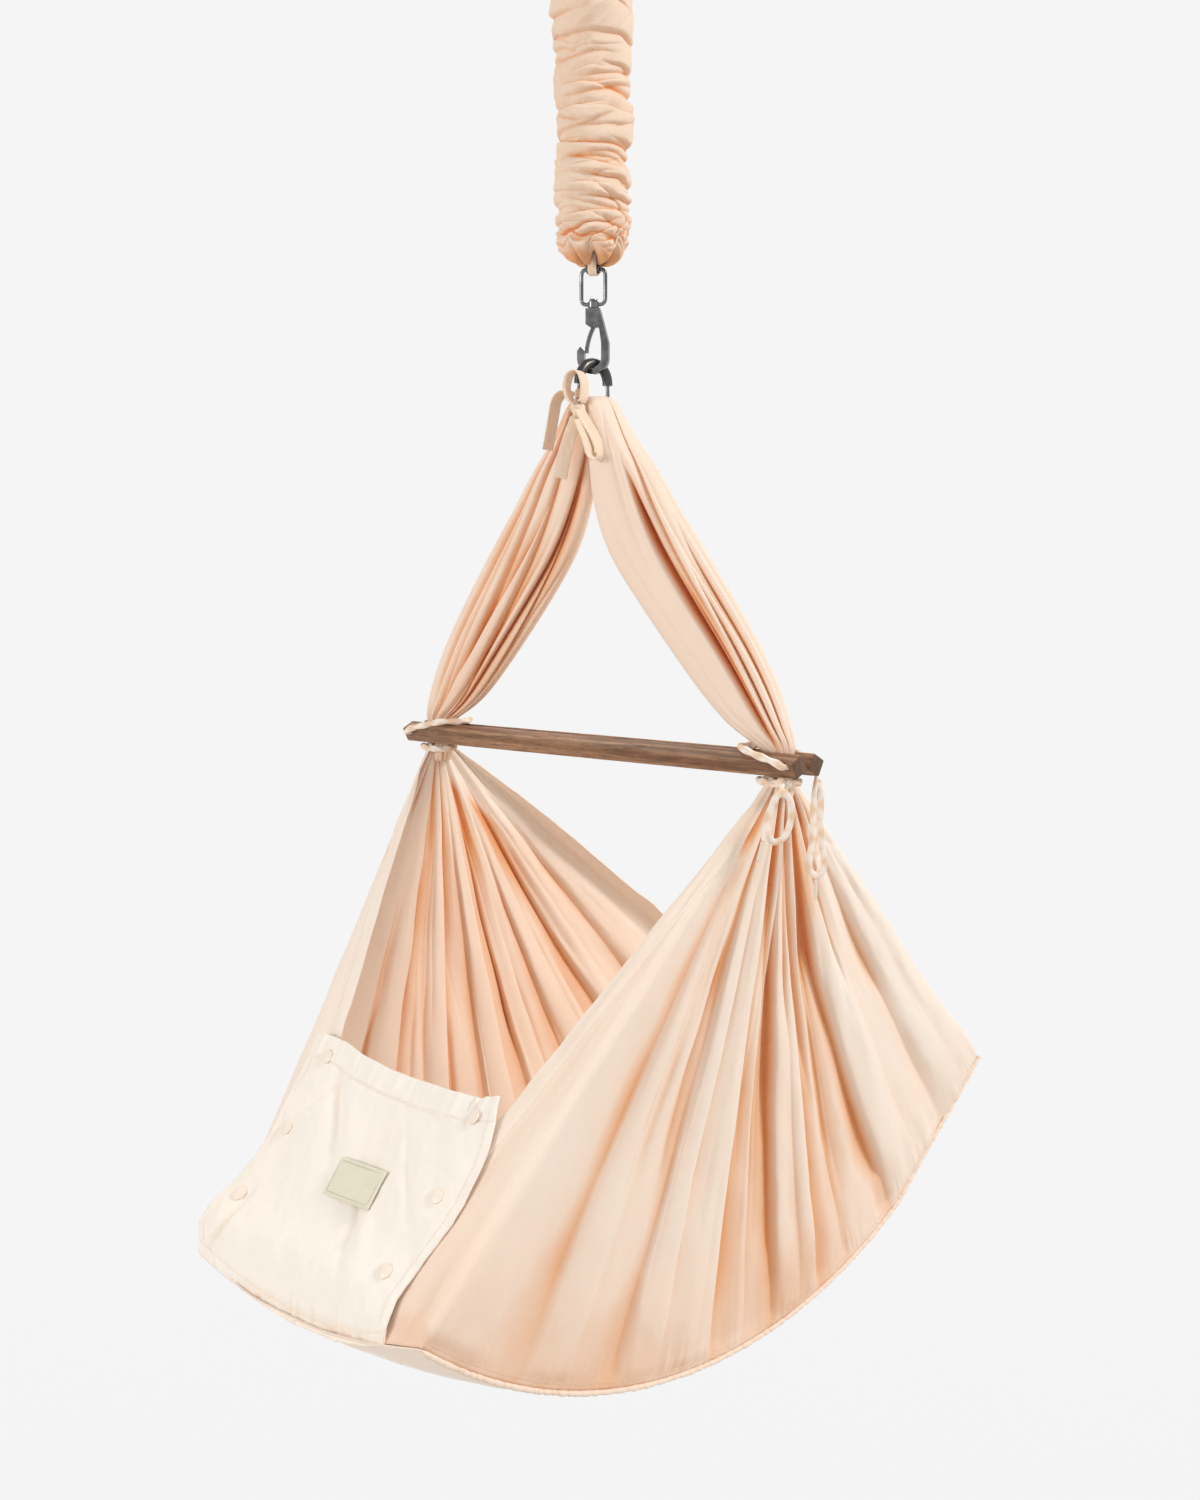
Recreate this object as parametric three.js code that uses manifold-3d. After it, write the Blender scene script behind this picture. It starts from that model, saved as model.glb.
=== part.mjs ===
// Hanging baby cradle: a cloth cradle gathered onto two wooden bars, slung from a ring,
// a swivel snap hook, a covered extension spring, a screw link and a ceiling fitting.
// Millimetres, +Z up. The origin is the centre of the ceiling fitting's top face.
// X runs along the bars, -Y is the foot end with the flap, +Y is the head end.
import * as THREE from 'three';
import { mergeVertices } from 'three/addons/utils/BufferGeometryUtils.js';
import Module from 'manifold-3d';

const wasm = await Module();
wasm.setup();

const degree = Math.PI / 180;

// Clearances
const touch = 0.3; // gap between pieces that rest on each other
const hangGap = 0.5; // gap where one bent wire hangs in another
const overrun = 5; // how far a cutting tool runs past the face it cuts

// Ceiling fitting
const plate = { radius: 30, thickness: 4, edge: 1, bossRadius: 9, bossHeight: 7, web: 2 };
const plateHole = { radius: 3.1, sinkRadius: 5.6, place: 20 };
const eye = { wire: 3, ring: 13, shank: 3.6, drop: 25, steps: 24 };

// Screw link between the ceiling eye and the spring
const link = { wire: 3, halfWidth: 10, height: 50, gap: 8 };
const linkNut = { across: 5.6, length: 14, below: 2, cover: 2 }; // starts below the bend, covers the gap's top

// Extension spring with a hook at each end
const spring = { wire: 2.3, coil: 13.5, body: 170, turns: 20, hook: 28, hookRadius: 9 };

// Gathered cloth sleeve over the spring
const sleeve = { inner: 27.3, wall: 3.2, pucker: 1.9, lip: 5, topMouth: 13.7, bottomMouth: 9 };
const sleeveReach = { above: 12, below: 18 }; // past the centres of the two hooks' outer wires

// Tape loop that joins the spring to the swivel
const hangTape = { width: 8, thickness: 1.6, length: 27 };

// Swivel bail and the tube that the tape bears on
const bail = { wire: 1.8, halfWidth: 11, height: 31, corner: 4.5, bossRadius: 5.2, bossHeight: 6 };
const bailTube = { radius: 4, length: 12 };
const rivet = { radius: 2, headRadius: 3.8, headHeight: 2.2, sunk: 7 };

// Snap hook
const hook = { depth: 7, seatDrop: 52, seatRadius: 8, bar: 6.4, neck: 6.5, tipRise: 13 };
const gate = { width: 3, depth: 4, pivotRadius: 3.1, pinRadius: 1.2, pivotDrop: 14, bow: 3.4 };
const hookTurn = 30 * degree;
const saddle = 1.2; // how deep the ring's tube beds into the hook's seat
const ringSwing = 20 * degree; // how far the ring swings each way in that seat

// Sling ring and the tube over its arch
const ring = { wire: 1.75, halfWidth: 18, height: 51, corner: 5 };
const ringTube = { radius: 4.6, skirt: 1 };

// Bars
const bar = { side: 15, length: 500, edge: 2.5, spacing: 22, roll: 28 * degree, chamfer: 1 };
const barHole = { radius: 3.5, inset: 9 };

// Sling legs. A section's shares: its level of the rise, its inner and outer edge of the gather's
// place along the bars, and its half depth.
const leg = { rise: 306, halfThickness: 9, halfDepth: 21, folds: 6, points: 24 };
const gatherInset = 31; // from a bar's end to the cloth that passes between the bars
const gatherX = bar.length / 2 - gatherInset;
const foldShare = 0.24; // how deep the folds cut into the open part of a leg
const legSectionShares = [
  [1.03, 0, 0.07, 0.57], [1, 0, 0.123, 0.79], [0.948, 0, 0.174, 0.84], [0.882, 0, 0.251, 0.88],
  [0.817, 0, 0.347, 0.95], [0.719, 0.023, 0.447, 1], [0.582, 0.091, 0.612, 1], [0.438, 0.265, 0.767, 0.98],
  [0.301, 0.443, 0.913, 0.95], [0.167, 0.63, 1.014, 0.88], [0.098, 0.744, 1.05, 0.76],
  [0.052, 0.868, 1.078, 0.43], [0.029, 0.922, 1.071, 0.24],
];
const neck = { outer: 14, lump: 15.5 }; // half widths along the bars, between and below them
const lumpShares = [[0, 1, 0.062], [0.22, 1, 0.08], [0.45, 1, 0.29], [0.68, 1, 0.43], [1, 0.9, 0.54]];
const lumpDrop = 22.6;

// Cords at the bars: a lashing through the bar holes and a binding below the bars
const cord = { radius: 2.9, sides: 8 };
const lashing = { inner: bar.length / 2 - 2 * gatherInset - cord.radius, over: 12.7, front: 24.6 };
const binding = { level: -15.4 };
const knot = { radius: 6.4, depth: 8, height: 11 };
const knotTurn = -45 * degree; // where the knot sits on the binding
const aglet = { radius: 1.5, length: 17 };

// Free ties at the right bar end, each a loop and a tail. Places are from the middle between the bar holes.
const tieRadius = 1.8;
const tieFront = [
  [-2.6, -18.7, -15.2], [-0.2, -21.6, -15.3], [0.5, -25.8, -19], [-1.6, -30.1, -27],
  [-4.5, -33.6, -37], [-6, -35.1, -47], [-5.2, -34.3, -55.5], [-1.6, -30.8, -61],
  [2.6, -26.5, -59.5], [6.5, -23.3, -52], [9, -22.3, -42], [10.2, -23.1, -32],
  [9.7, -25.9, -24], [6.9, -30.1, -19.5], [3.2, -34.2, -23], [0.4, -36.3, -31],
  [-2, -38.2, -41], [-3.7, -39.6, -51], [-5.2, -40.7, -60],
];
const tieBack = [
  [0, 23.2, -3.3], [0, 23.2, -8.5], [-0.5, 22, -16], [-1, 20.8, -28], [-1.3, 20.5, -44],
  [-1.6, 20.2, -60], [-2.4, 19.4, -71], [-3.4, 18.4, -80], [-3.6, 18.2, -87.5], [-2, 19.8, -92.6],
  [0.8, 22.6, -94.4], [3.7, 25.5, -92.6], [5.2, 27, -87.5], [5.1, 26.9, -80],
  [4.1, 25.9, -71], [3.2, 25, -60], [3, 24.7, -44], [2.9, 24.7, -32], [2.7, 24.7, -24],
  [0.7, 26.2, -18.6], [-2.3, 28.6, -16.8], [-5.3, 31, -18.6], [-7.1, 32.2, -24], [-7.4, 32, -34],
  [-6.9, 31, -50], [-5.7, 29.3, -66], [-4.3, 27.7, -80], [-3.1, 26.6, -92], [-2.8, 26.2, -99],
];

// Tape tied to the near side of the ring, with its knot and bow. Places are from the bars' centre.
const tieTape = { width: 12, thickness: 1.4 };
const tieWrap = { low: 312.4, height: 9.4, thickness: 1.4 };
const bowKnot = { radius: 6.5, depth: 8.6, height: 12, place: [3.6, -23.4, 302.5] };
const bowTurn = 45 * degree; // the bow faces between the foot and the right
const tapeTurn = 80 * degree; // which way the loops' tape is wide
const sideTapeTurn = 95 * degree;
const bowUp = [
  [8, -23.1, 309.2], [9.7, -22.3, 312.6], [10.7, -22.1, 319], [10.7, -22.9, 328], [8.9, -25.3, 334],
  [5.9, -28.5, 336], [2.3, -31.7, 333], [0, -33.4, 325], [0, -32.5, 317], [1.4, -30.3, 312],
  [3.1, -28, 309.2],
];
const bowSide = [
  [9.7, -27.4, 303], [13.1, -26.5, 297], [19.8, -25.5, 288], [27.2, -24.3, 277], [31.3, -23.3, 267],
  [31.5, -25.9, 260], [28.6, -30.5, 262], [26.2, -31.8, 269], [22.6, -31.7, 277], [17.7, -31.8, 286],
  [14, -32.1, 293],
];
const bowTailLeft = [
  [-4, -19.9, 316], [-8.1, -23.1, 318.5], [-12.6, -27, 317.5], [-16.3, -30.4, 311],
  [-18.2, -31.8, 301], [-19.9, -33, 289], [-21.9, -34.1, 277], [-23.6, -34.9, 268],
];
const bowTailFront = [
  [2.6, -24.5, 295.9], [1.6, -25.6, 291], [-1.1, -27.7, 282], [-4.5, -29.4, 270], [-8.4, -30.5, 257],
  [-11.9, -31.4, 243],
];

// Cradle bed: radial places are measured from the bars' axis, in planes through that axis
const bed = { radius: 541, halfWidth: 145, sag: 18, foot: -37.7 * degree, bend: 30.8 * degree };
const bedHead = 50.6 * degree;
const cloth = { thickness: 2.4, folds: 10, columns: 40, rows: 7 };
const wallTop = { radius: 25.6, x: gatherX };
const wallFold = { depth: 8.5, fullShare: 0.5 };
const hem = { slope: 0.335, least: 3.4, headBand: 22, quick: 4 };
const panel = { thickness: 2.4, edge: 3.2, lip: 3, stations: 8 };
const mattress = { thickness: 37, sideGap: 7, head: 33 * degree, endGap: 4, crown: 4 };
const mattressHalf = bed.halfWidth - mattress.sideGap;
const cover = { thickness: 2 };
const flap = { height: 204, thickness: 3, standoff: 2.4 };
const flapTopShares = [-0.986, 0.71]; // of the bed's half width
const flapBottomShares = [-1.014, 0.759];
const label = { width: 60, height: 34, thickness: 0.8, heightShare: 0.4755 };
const snap = { capRadius: 6.7, capHeight: 2.2, stem: 2.3, flange: 4.5, flangeHeight: 1, stud: 0.8 };
// Snaps: shares of the bed's half width, and of the flap's height above the seam
const snapLeftShares = [[-0.793, 0.941], [-0.828, 0.593], [-0.897, 0.265]];
const snapRightShares = [[0.628, 0.877], [0.641, 0.539], [0.552, 0.201]];

// Levels of the hanging train, from the top down
const eyeCentre = -(plate.thickness + eye.drop);
const eyeSeat = eyeCentre - eye.ring;
const linkTop = eyeSeat + eye.wire + touch + link.wire;
const linkBottom = linkTop - link.height;
const springTop = linkBottom + link.wire + hangGap + spring.wire;
const springBottom = springTop - spring.body - 2 * spring.hook;
const bailTop = springBottom - hangTape.length;
const bailBottom = bailTop - bail.height;
const hookTop = bailBottom - bail.bossHeight / 2 - touch;
const hookSeat = hookTop - hook.seatDrop;
const ringTop = hookSeat + touch + ringTube.radius - saddle;
const ringBottom = ringTop - ring.height;
const barLevel = ringBottom + ring.wire + touch + leg.halfThickness - leg.rise;

// Materials
const finish = {
  steel: { color: 0xc4c7c9, roughness: 0.25, metalness: 1 },
  darkSteel: { color: 0x54575a, roughness: 0.4, metalness: 0.9 },
  wood: { color: 0x6e4f38, roughness: 0.6, metalness: 0 },
  peach: { color: 0xf6d6b6, roughness: 0.9, metalness: 0 },
  cream: { color: 0xfaf0e2, roughness: 0.9, metalness: 0 },
  cordCotton: { color: 0xf5dfc8, roughness: 0.9, metalness: 0 },
  foam: { color: 0xf1ead9, roughness: 0.95, metalness: 0 },
  patch: { color: 0xe7e4cb, roughness: 0.7, metalness: 0 },
  clear: { color: 0xe9e4dc, roughness: 0.3, metalness: 0 },
  snapResin: { color: 0xf5dcc4, roughness: 0.5, metalness: 0 },
};

const cradle = new THREE.Group();
const train = new THREE.Group();
const sling = new THREE.Group();
sling.position.z = barLevel;
cradle.add(train, sling);

function addPiece(parent, name, geometry, look) {
  const mesh = new THREE.Mesh(geometry, new THREE.MeshStandardMaterial(finish[look]));
  mesh.name = name;
  parent.add(mesh);
  return mesh;
}

// Closed surfaces

function signedVolume(positions, triangles) {
  const a = new THREE.Vector3();
  const b = new THREE.Vector3();
  const c = new THREE.Vector3();
  let sum = 0;
  for (const [i, j, k] of triangles) {
    a.copy(positions[i]);
    b.copy(positions[j]);
    c.copy(positions[k]);
    sum += a.dot(b.cross(c));
  }
  return sum / 6;
}

function closedGeometry(positions, triangles) {
  const inward = signedVolume(positions, triangles) < 0;
  const geometry = new THREE.BufferGeometry();
  geometry.setAttribute('position', new THREE.Float32BufferAttribute(positions.flatMap((p) => p.toArray()), 3));
  geometry.setIndex(triangles.flatMap(([i, j, k]) => (inward ? [i, k, j] : [i, j, k])));
  return geometry;
}

// A skin over rings that all have the same number of points
function loft(rings, closedPath = false) {
  const count = rings[0].length;
  const positions = rings.flat();
  const triangles = [];
  const spans = closedPath ? rings.length : rings.length - 1;
  for (let r = 0; r < spans; r++) {
    const here = r * count;
    const next = ((r + 1) % rings.length) * count;
    for (let i = 0; i < count; i++) {
      const j = (i + 1) % count;
      triangles.push([here + i, here + j, next + j], [here + i, next + j, next + i]);
    }
  }
  if (!closedPath) {
    addFan(positions, triangles, 0, count, true);
    addFan(positions, triangles, (rings.length - 1) * count, count, false);
  }
  return closedGeometry(positions, triangles);
}

function addFan(positions, triangles, start, count, reversed) {
  const centre = new THREE.Vector3();
  for (let i = 0; i < count; i++) centre.add(positions[start + i]);
  positions.push(centre.divideScalar(count));
  const hub = positions.length - 1;
  for (let i = 0; i < count; i++) {
    const j = (i + 1) % count;
    triangles.push(reversed ? [hub, start + j, start + i] : [hub, start + i, start + j]);
  }
}

// A sheet of even thickness on a grid of points of its middle surface
function sheet(grid, thickness) {
  const columns = grid.length;
  const rows = grid[0].length;
  const front = [];
  const back = [];
  for (let i = 0; i < columns; i++) {
    for (let j = 0; j < rows; j++) {
      const along = grid[Math.min(i + 1, columns - 1)][j].clone().sub(grid[Math.max(i - 1, 0)][j]);
      const up = grid[i][Math.min(j + 1, rows - 1)].clone().sub(grid[i][Math.max(j - 1, 0)]);
      const normal = along.cross(up).normalize().multiplyScalar(thickness / 2);
      front.push(grid[i][j].clone().add(normal));
      back.push(grid[i][j].clone().sub(normal));
    }
  }
  return skinPair(front, back, columns, rows);
}

// Joins a front and a back grid round their edge
function skinPair(front, back, columns, rows) {
  const offset = columns * rows;
  const at = (i, j) => i * rows + j;
  const triangles = [];
  for (let i = 0; i < columns - 1; i++) {
    for (let j = 0; j < rows - 1; j++) {
      const [a, b, c, d] = [at(i, j), at(i + 1, j), at(i + 1, j + 1), at(i, j + 1)];
      triangles.push([a, b, c], [a, c, d]);
      triangles.push([offset + a, offset + c, offset + b], [offset + a, offset + d, offset + c]);
    }
  }
  const rim = [];
  for (let i = 0; i < columns - 1; i++) rim.push([at(i, 0), at(i + 1, 0)]);
  for (let j = 0; j < rows - 1; j++) rim.push([at(columns - 1, j), at(columns - 1, j + 1)]);
  for (let i = columns - 1; i > 0; i--) rim.push([at(i, rows - 1), at(i - 1, rows - 1)]);
  for (let j = rows - 1; j > 0; j--) rim.push([at(0, j), at(0, j - 1)]);
  for (const [a, b] of rim) triangles.push([a, offset + b, b], [a, offset + a, offset + b]);
  return closedGeometry([...front, ...back], triangles);
}

// A round or flat section carried along points, with its frame kept from twisting
function sweep(points, section, closedPath = false) {
  const last = points.length - 1;
  const rings = [];
  let side = null;
  for (let i = 0; i <= last; i++) {
    const before = closedPath ? points[(i + last) % (last + 1)] : points[Math.max(i - 1, 0)];
    const after = closedPath ? points[(i + 1) % (last + 1)] : points[Math.min(i + 1, last)];
    const tangent = after.clone().sub(before).normalize();
    side = sideVector(side, tangent, section.across);
    const other = tangent.clone().cross(side).normalize();
    rings.push(section.outline.map(([u, v]) => points[i].clone().addScaledVector(side, u).addScaledVector(other, v)));
  }
  return loft(rings, closedPath);
}

function sideVector(previous, tangent, across) {
  const seed = across || previous || leastAxis(tangent);
  return seed.clone().addScaledVector(tangent, -seed.dot(tangent)).normalize();
}

function leastAxis(v) {
  const sizes = [Math.abs(v.x), Math.abs(v.y), Math.abs(v.z)];
  const pick = sizes.indexOf(Math.min(...sizes));
  return new THREE.Vector3(pick === 0 ? 1 : 0, pick === 1 ? 1 : 0, pick === 2 ? 1 : 0);
}

function roundSection(radius, sides, across = null) {
  const outline = [];
  for (let i = 0; i < sides; i++) {
    const angle = (2 * Math.PI * i) / sides;
    outline.push([radius * Math.cos(angle), radius * Math.sin(angle)]);
  }
  return { outline, across };
}

// A round bar along a curve with two ends
function tube(list, radius, sides, steps) {
  const path = new THREE.CatmullRomCurve3(list, false, 'centripetal');
  const outline = roundSection(radius, sides).outline.map(([u, v]) => new THREE.Vector2(u, v));
  return new THREE.ExtrudeGeometry(new THREE.Shape(outline), { steps, extrudePath: path, bevelEnabled: false });
}

// A flat tape's section: its width lies along the vector given
function tapeSection(width, thickness, across) {
  const [w, t] = [width / 2, thickness / 2];
  return { outline: [[w, -t], [w, t], [-w, t], [-w, -t]], across };
}

const vectors = (list) => list.map(([x, y, z]) => new THREE.Vector3(x, y, z));

function smooth(list, count, closedPath = false) {
  const curve = new THREE.CatmullRomCurve3(vectors(list), closedPath, 'centripetal');
  const points = curve.getSpacedPoints(count);
  if (closedPath) points.pop();
  return points;
}

// Solids that are cut and joined

function toSolid(geometry) {
  const bare = geometry.index ? geometry.toNonIndexed() : geometry.clone();
  bare.deleteAttribute('normal');
  bare.deleteAttribute('uv');
  const merged = mergeVertices(bare, 1e-4);
  const mesh = new wasm.Mesh({
    numProp: 3,
    vertProperties: Float32Array.from(merged.attributes.position.array),
    triVerts: Uint32Array.from(merged.index.array),
  });
  return new wasm.Manifold(mesh);
}

function fromSolid(solid) {
  const mesh = solid.getMesh();
  const geometry = new THREE.BufferGeometry();
  geometry.setAttribute('position', new THREE.BufferAttribute(Float32Array.from(mesh.vertProperties), 3));
  geometry.setIndex(new THREE.BufferAttribute(Uint32Array.from(mesh.triVerts), 1));
  return geometry;
}

function cylinder(radius, length, sides, x, y, z, axis = 'z') {
  const geometry = new THREE.CylinderGeometry(radius, radius, length, sides);
  if (axis === 'z') geometry.rotateX(Math.PI / 2);
  if (axis === 'x') geometry.rotateZ(Math.PI / 2);
  geometry.translate(x, y, z);
  return toSolid(geometry);
}

function block(dx, dy, dz, x, y, z) {
  const geometry = new THREE.BoxGeometry(dx, dy, dz);
  geometry.translate(x, y, z);
  return toSolid(geometry);
}

function lathe(profile, sides) {
  const points = profile.map(([r, z]) => new THREE.Vector2(r, z));
  const geometry = new THREE.LatheGeometry(points, sides);
  geometry.rotateX(Math.PI / 2);
  return geometry;
}

// Rounded path in a plane: the corners of an outline replaced by arcs
function roundedLoop(corners, radius, steps) {
  const points = [];
  const count = corners.length;
  for (let i = 0; i < count; i++) {
    const corner = corners[i];
    const before = corners[(i + count - 1) % count];
    const after = corners[(i + 1) % count];
    const toBefore = before.clone().sub(corner).normalize();
    const toAfter = after.clone().sub(corner).normalize();
    const start = corner.clone().addScaledVector(toBefore, radius);
    const end = corner.clone().addScaledVector(toAfter, radius);
    const bend = new THREE.QuadraticBezierCurve3(start, corner, end);
    points.push(...bend.getPoints(steps));
  }
  return points;
}

// Ceiling fitting

function makeCeilingPlate() {
  const under = -plate.thickness;
  const bore = eye.shank + touch;
  const profile = [
    [0, 0], [plate.radius, 0], [plate.radius, under + plate.edge], [plate.radius - plate.edge, under],
    [plate.bossRadius, under], [plate.bossRadius, under - plate.bossHeight], [bore, under - plate.bossHeight],
    [bore, -plate.web], [0, -plate.web],
  ];
  let solid = toSolid(lathe(profile.reverse(), 24));
  for (const side of [-1, 1]) {
    const x = side * plateHole.place;
    const shaft = cylinder(plateHole.radius, plate.thickness + 2 * overrun, 16, x, 0, -plate.thickness / 2);
    const sink = new THREE.CylinderGeometry(plateHole.radius, plateHole.sinkRadius, plate.thickness, 16);
    sink.rotateX(Math.PI / 2);
    sink.translate(x, 0, under + plate.thickness / 4);
    solid = solid.subtract(shaft).subtract(toSolid(sink));
  }
  addPiece(train, 'ceiling_plate', fromSolid(solid), 'steel');
}

function makeCeilingEye() {
  const torus = new THREE.TorusGeometry(eye.ring, eye.wire, 8, eye.steps);
  torus.rotateX(Math.PI / 2);
  torus.translate(0, 0, eyeCentre);
  const top = -plate.web - touch;
  const bottom = eyeCentre + eye.ring;
  const shank = cylinder(eye.shank, top - bottom, 20, 0, 0, (top + bottom) / 2);
  addPiece(train, 'ceiling_eye', fromSolid(toSolid(torus).add(shank)), 'steel');
}

// Screw link

function makeScrewLink() {
  const arc = link.halfWidth;
  const nutTop = linkTop - arc - linkNut.below;
  const gapTop = nutTop - linkNut.cover;
  const points = [new THREE.Vector3(0, arc, gapTop - link.gap)];
  for (let i = 0; i <= 8; i++) {
    const angle = (Math.PI * i) / 8;
    points.push(new THREE.Vector3(0, arc * Math.cos(angle), linkBottom + arc - arc * Math.sin(angle)));
  }
  for (let i = 0; i <= 8; i++) {
    const angle = (Math.PI * i) / 8;
    points.push(new THREE.Vector3(0, -arc * Math.cos(angle), linkTop - arc + arc * Math.sin(angle)));
  }
  points.push(new THREE.Vector3(0, arc, gapTop));
  addPiece(train, 'screw_link', fromSolid(toSolid(tube(points, link.wire, 8, 30))), 'steel');
  const middle = nutTop - linkNut.length / 2;
  const nut = cylinder(linkNut.across, linkNut.length, 6, 0, arc, middle);
  const bore = cylinder(link.wire + touch, linkNut.length + 2 * overrun, 20, 0, arc, middle);
  addPiece(train, 'screw_link_nut', fromSolid(nut.subtract(bore)), 'steel');
}

// Spring: one wire, from the upper hook down the coil to the lower hook

function springPoints() {
  const points = [];
  const coilTop = springTop - spring.hook;
  const upper = springTop - spring.hookRadius;
  for (let i = 0; i <= 9; i++) {
    const angle = (-0.25 + (1.25 * i) / 9) * Math.PI;
    points.push(new THREE.Vector3(spring.hookRadius * Math.cos(angle), 0, upper + spring.hookRadius * Math.sin(angle)));
  }
  points.push(new THREE.Vector3(-spring.coil * 0.86, 0, coilTop + spring.wire * 2));
  const steps = spring.turns * 8 + 1;
  for (let i = 1; i <= steps; i++) {
    const angle = Math.PI + (2 * Math.PI * i) / 8;
    const z = coilTop - (spring.body * i) / steps;
    points.push(new THREE.Vector3(spring.coil * Math.cos(angle), spring.coil * Math.sin(angle), z));
  }
  const lower = springBottom + spring.hookRadius;
  const across = new THREE.Vector3(Math.cos(hookTurn), Math.sin(hookTurn), 0);
  const start = points[points.length - 1];
  points.push(new THREE.Vector3(start.x * 0.86, start.y * 0.86, springBottom + spring.hook - spring.wire * 2));
  for (let i = 0; i <= 9; i++) {
    const angle = (1 + (1.25 * i) / 9) * Math.PI;
    const point = across.clone().multiplyScalar(spring.hookRadius * Math.cos(angle));
    point.z = lower + spring.hookRadius * Math.sin(angle);
    points.push(point);
  }
  return points;
}

// Least gap between stretches of the wire that are not neighbours
function leastGap(points, radius, skip) {
  let least = Infinity;
  for (let i = 0; i < points.length; i++) {
    for (let j = i + skip; j < points.length; j++) least = Math.min(least, points[i].distanceTo(points[j]));
  }
  return least - 2 * radius;
}

function makeSpring() {
  const points = springPoints();
  console.log(`spring: least gap to itself ${leastGap(points, spring.wire, 6).toFixed(2)} mm`);
  addPiece(train, 'extension_spring', sweep(points, roundSection(spring.wire, 5)), 'steel');
}

// Gathered sleeve: a tube with puckers, drawn in at both ends

function makeSleeve() {
  const top = springTop + sleeveReach.above;
  const bottom = springBottom - sleeveReach.below;
  const outer = sleeve.inner + sleeve.wall;
  const profile = [[sleeve.bottomMouth, bottom + sleeve.lip], [outer * 0.62, bottom], [outer * 0.9, bottom + sleeve.lip]];
  const rings = 18;
  for (let i = 1; i < rings; i++) profile.push([outer, bottom + ((top - bottom) * i) / rings]);
  profile.push([outer * 0.9, top - sleeve.lip], [outer * 0.62, top], [sleeve.topMouth, top - sleeve.lip]);
  const outerCount = profile.length;
  profile.push([sleeve.inner * 0.8, top - 2 * sleeve.lip], [sleeve.inner, top - 3 * sleeve.lip]);
  profile.push([sleeve.inner, bottom + 3 * sleeve.lip], [sleeve.inner * 0.8, bottom + 2 * sleeve.lip]);
  const sides = 18;
  const loops = [];
  for (let s = 0; s < sides; s++) {
    const angle = (2 * Math.PI * s) / sides;
    loops.push(profile.map(([radius, z], i) => {
      const skin = i > 2 && i < outerCount - 3;
      const wave = skin ? sleeve.pucker * Math.sin(i * 2.3 + 1.7 * Math.sin(angle * 2 + i)) : 0;
      return new THREE.Vector3((radius + wave) * Math.cos(angle), (radius + wave) * Math.sin(angle), z);
    }));
  }
  addPiece(train, 'spring_sleeve', loft(loops, true), 'peach');
}

// Tape loop round the spring's lower hook and the bail's tube

function makeHangTape() {
  const rise = spring.hookRadius - Math.sqrt(spring.hookRadius ** 2 - (hangTape.width / 2) ** 2);
  const upperRadius = spring.wire + 2 * hangGap + rise + hangTape.thickness / 2;
  const lowerRadius = bailTube.radius + touch + hangTape.thickness / 2;
  const away = new THREE.Vector3(Math.sin(hookTurn), -Math.cos(hookTurn), 0);
  const across = new THREE.Vector3(Math.cos(hookTurn), Math.sin(hookTurn), 0);
  const lean = Math.asin((lowerRadius - upperRadius) / hangTape.length);
  const points = [];
  for (let i = 0; i <= 8; i++) {
    const angle = -lean + ((Math.PI + 2 * lean) * i) / 8;
    const point = away.clone().multiplyScalar(upperRadius * Math.cos(angle));
    points.push(point.setZ(springBottom + upperRadius * Math.sin(angle)));
  }
  for (let i = 0; i <= 8; i++) {
    const angle = Math.PI + lean + ((Math.PI - 2 * lean) * i) / 8;
    const point = away.clone().multiplyScalar(lowerRadius * Math.cos(angle));
    points.push(point.setZ(bailTop + lowerRadius * Math.sin(angle)));
  }
  addPiece(train, 'hang_tape', sweep(points, tapeSection(hangTape.width, hangTape.thickness, across), true), 'cream');
}

// Swivel and snap hook share one turned group. In it X lies across the hook and Y through it.

const hookGroup = new THREE.Group();
hookGroup.rotation.z = hookTurn;
train.add(hookGroup);

function makeBail() {
  const w = bail.halfWidth;
  const corners = vectors([[-w, 0, bailBottom], [w, 0, bailBottom], [w, 0, bailTop], [-w, 0, bailTop]]);
  const wire = toSolid(sweep(roundedLoop(corners, bail.corner, 3), roundSection(bail.wire, 8, new THREE.Vector3(0, 1, 0)), true));
  const boss = cylinder(bail.bossRadius, bail.bossHeight, 20, 0, 0, bailBottom);
  const bore = cylinder(rivet.radius + touch, bail.bossHeight + 2 * overrun, 16, 0, 0, bailBottom);
  addPiece(hookGroup, 'swivel_bail', fromSolid(wire.add(boss).subtract(bore)), 'steel');
  const tube = cylinder(bailTube.radius, bailTube.length, 20, 0, 0, bailTop, 'x');
  const tubeBore = cylinder(bail.wire + touch, bailTube.length + 2 * overrun, 20, 0, 0, bailTop, 'x');
  addPiece(hookGroup, 'bail_tube', fromSolid(tube.subtract(tubeBore)), 'darkSteel');
}

function makeRivet() {
  const top = bailBottom + bail.bossHeight / 2 + touch;
  const head = cylinder(rivet.headRadius, rivet.headHeight, 20, 0, 0, top + rivet.headHeight / 2);
  const bottom = hookTop - rivet.sunk;
  const shaft = cylinder(rivet.radius, top - bottom, 16, 0, 0, (top + bottom) / 2);
  addPiece(hookGroup, 'swivel_rivet', fromSolid(head.add(shaft)), 'steel');
}

const gatePivot = new THREE.Vector2(hook.neck * 0.25, hookTop - gate.pivotDrop);
const hookCentre = new THREE.Vector2(0, hookSeat + hook.seatRadius);

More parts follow.
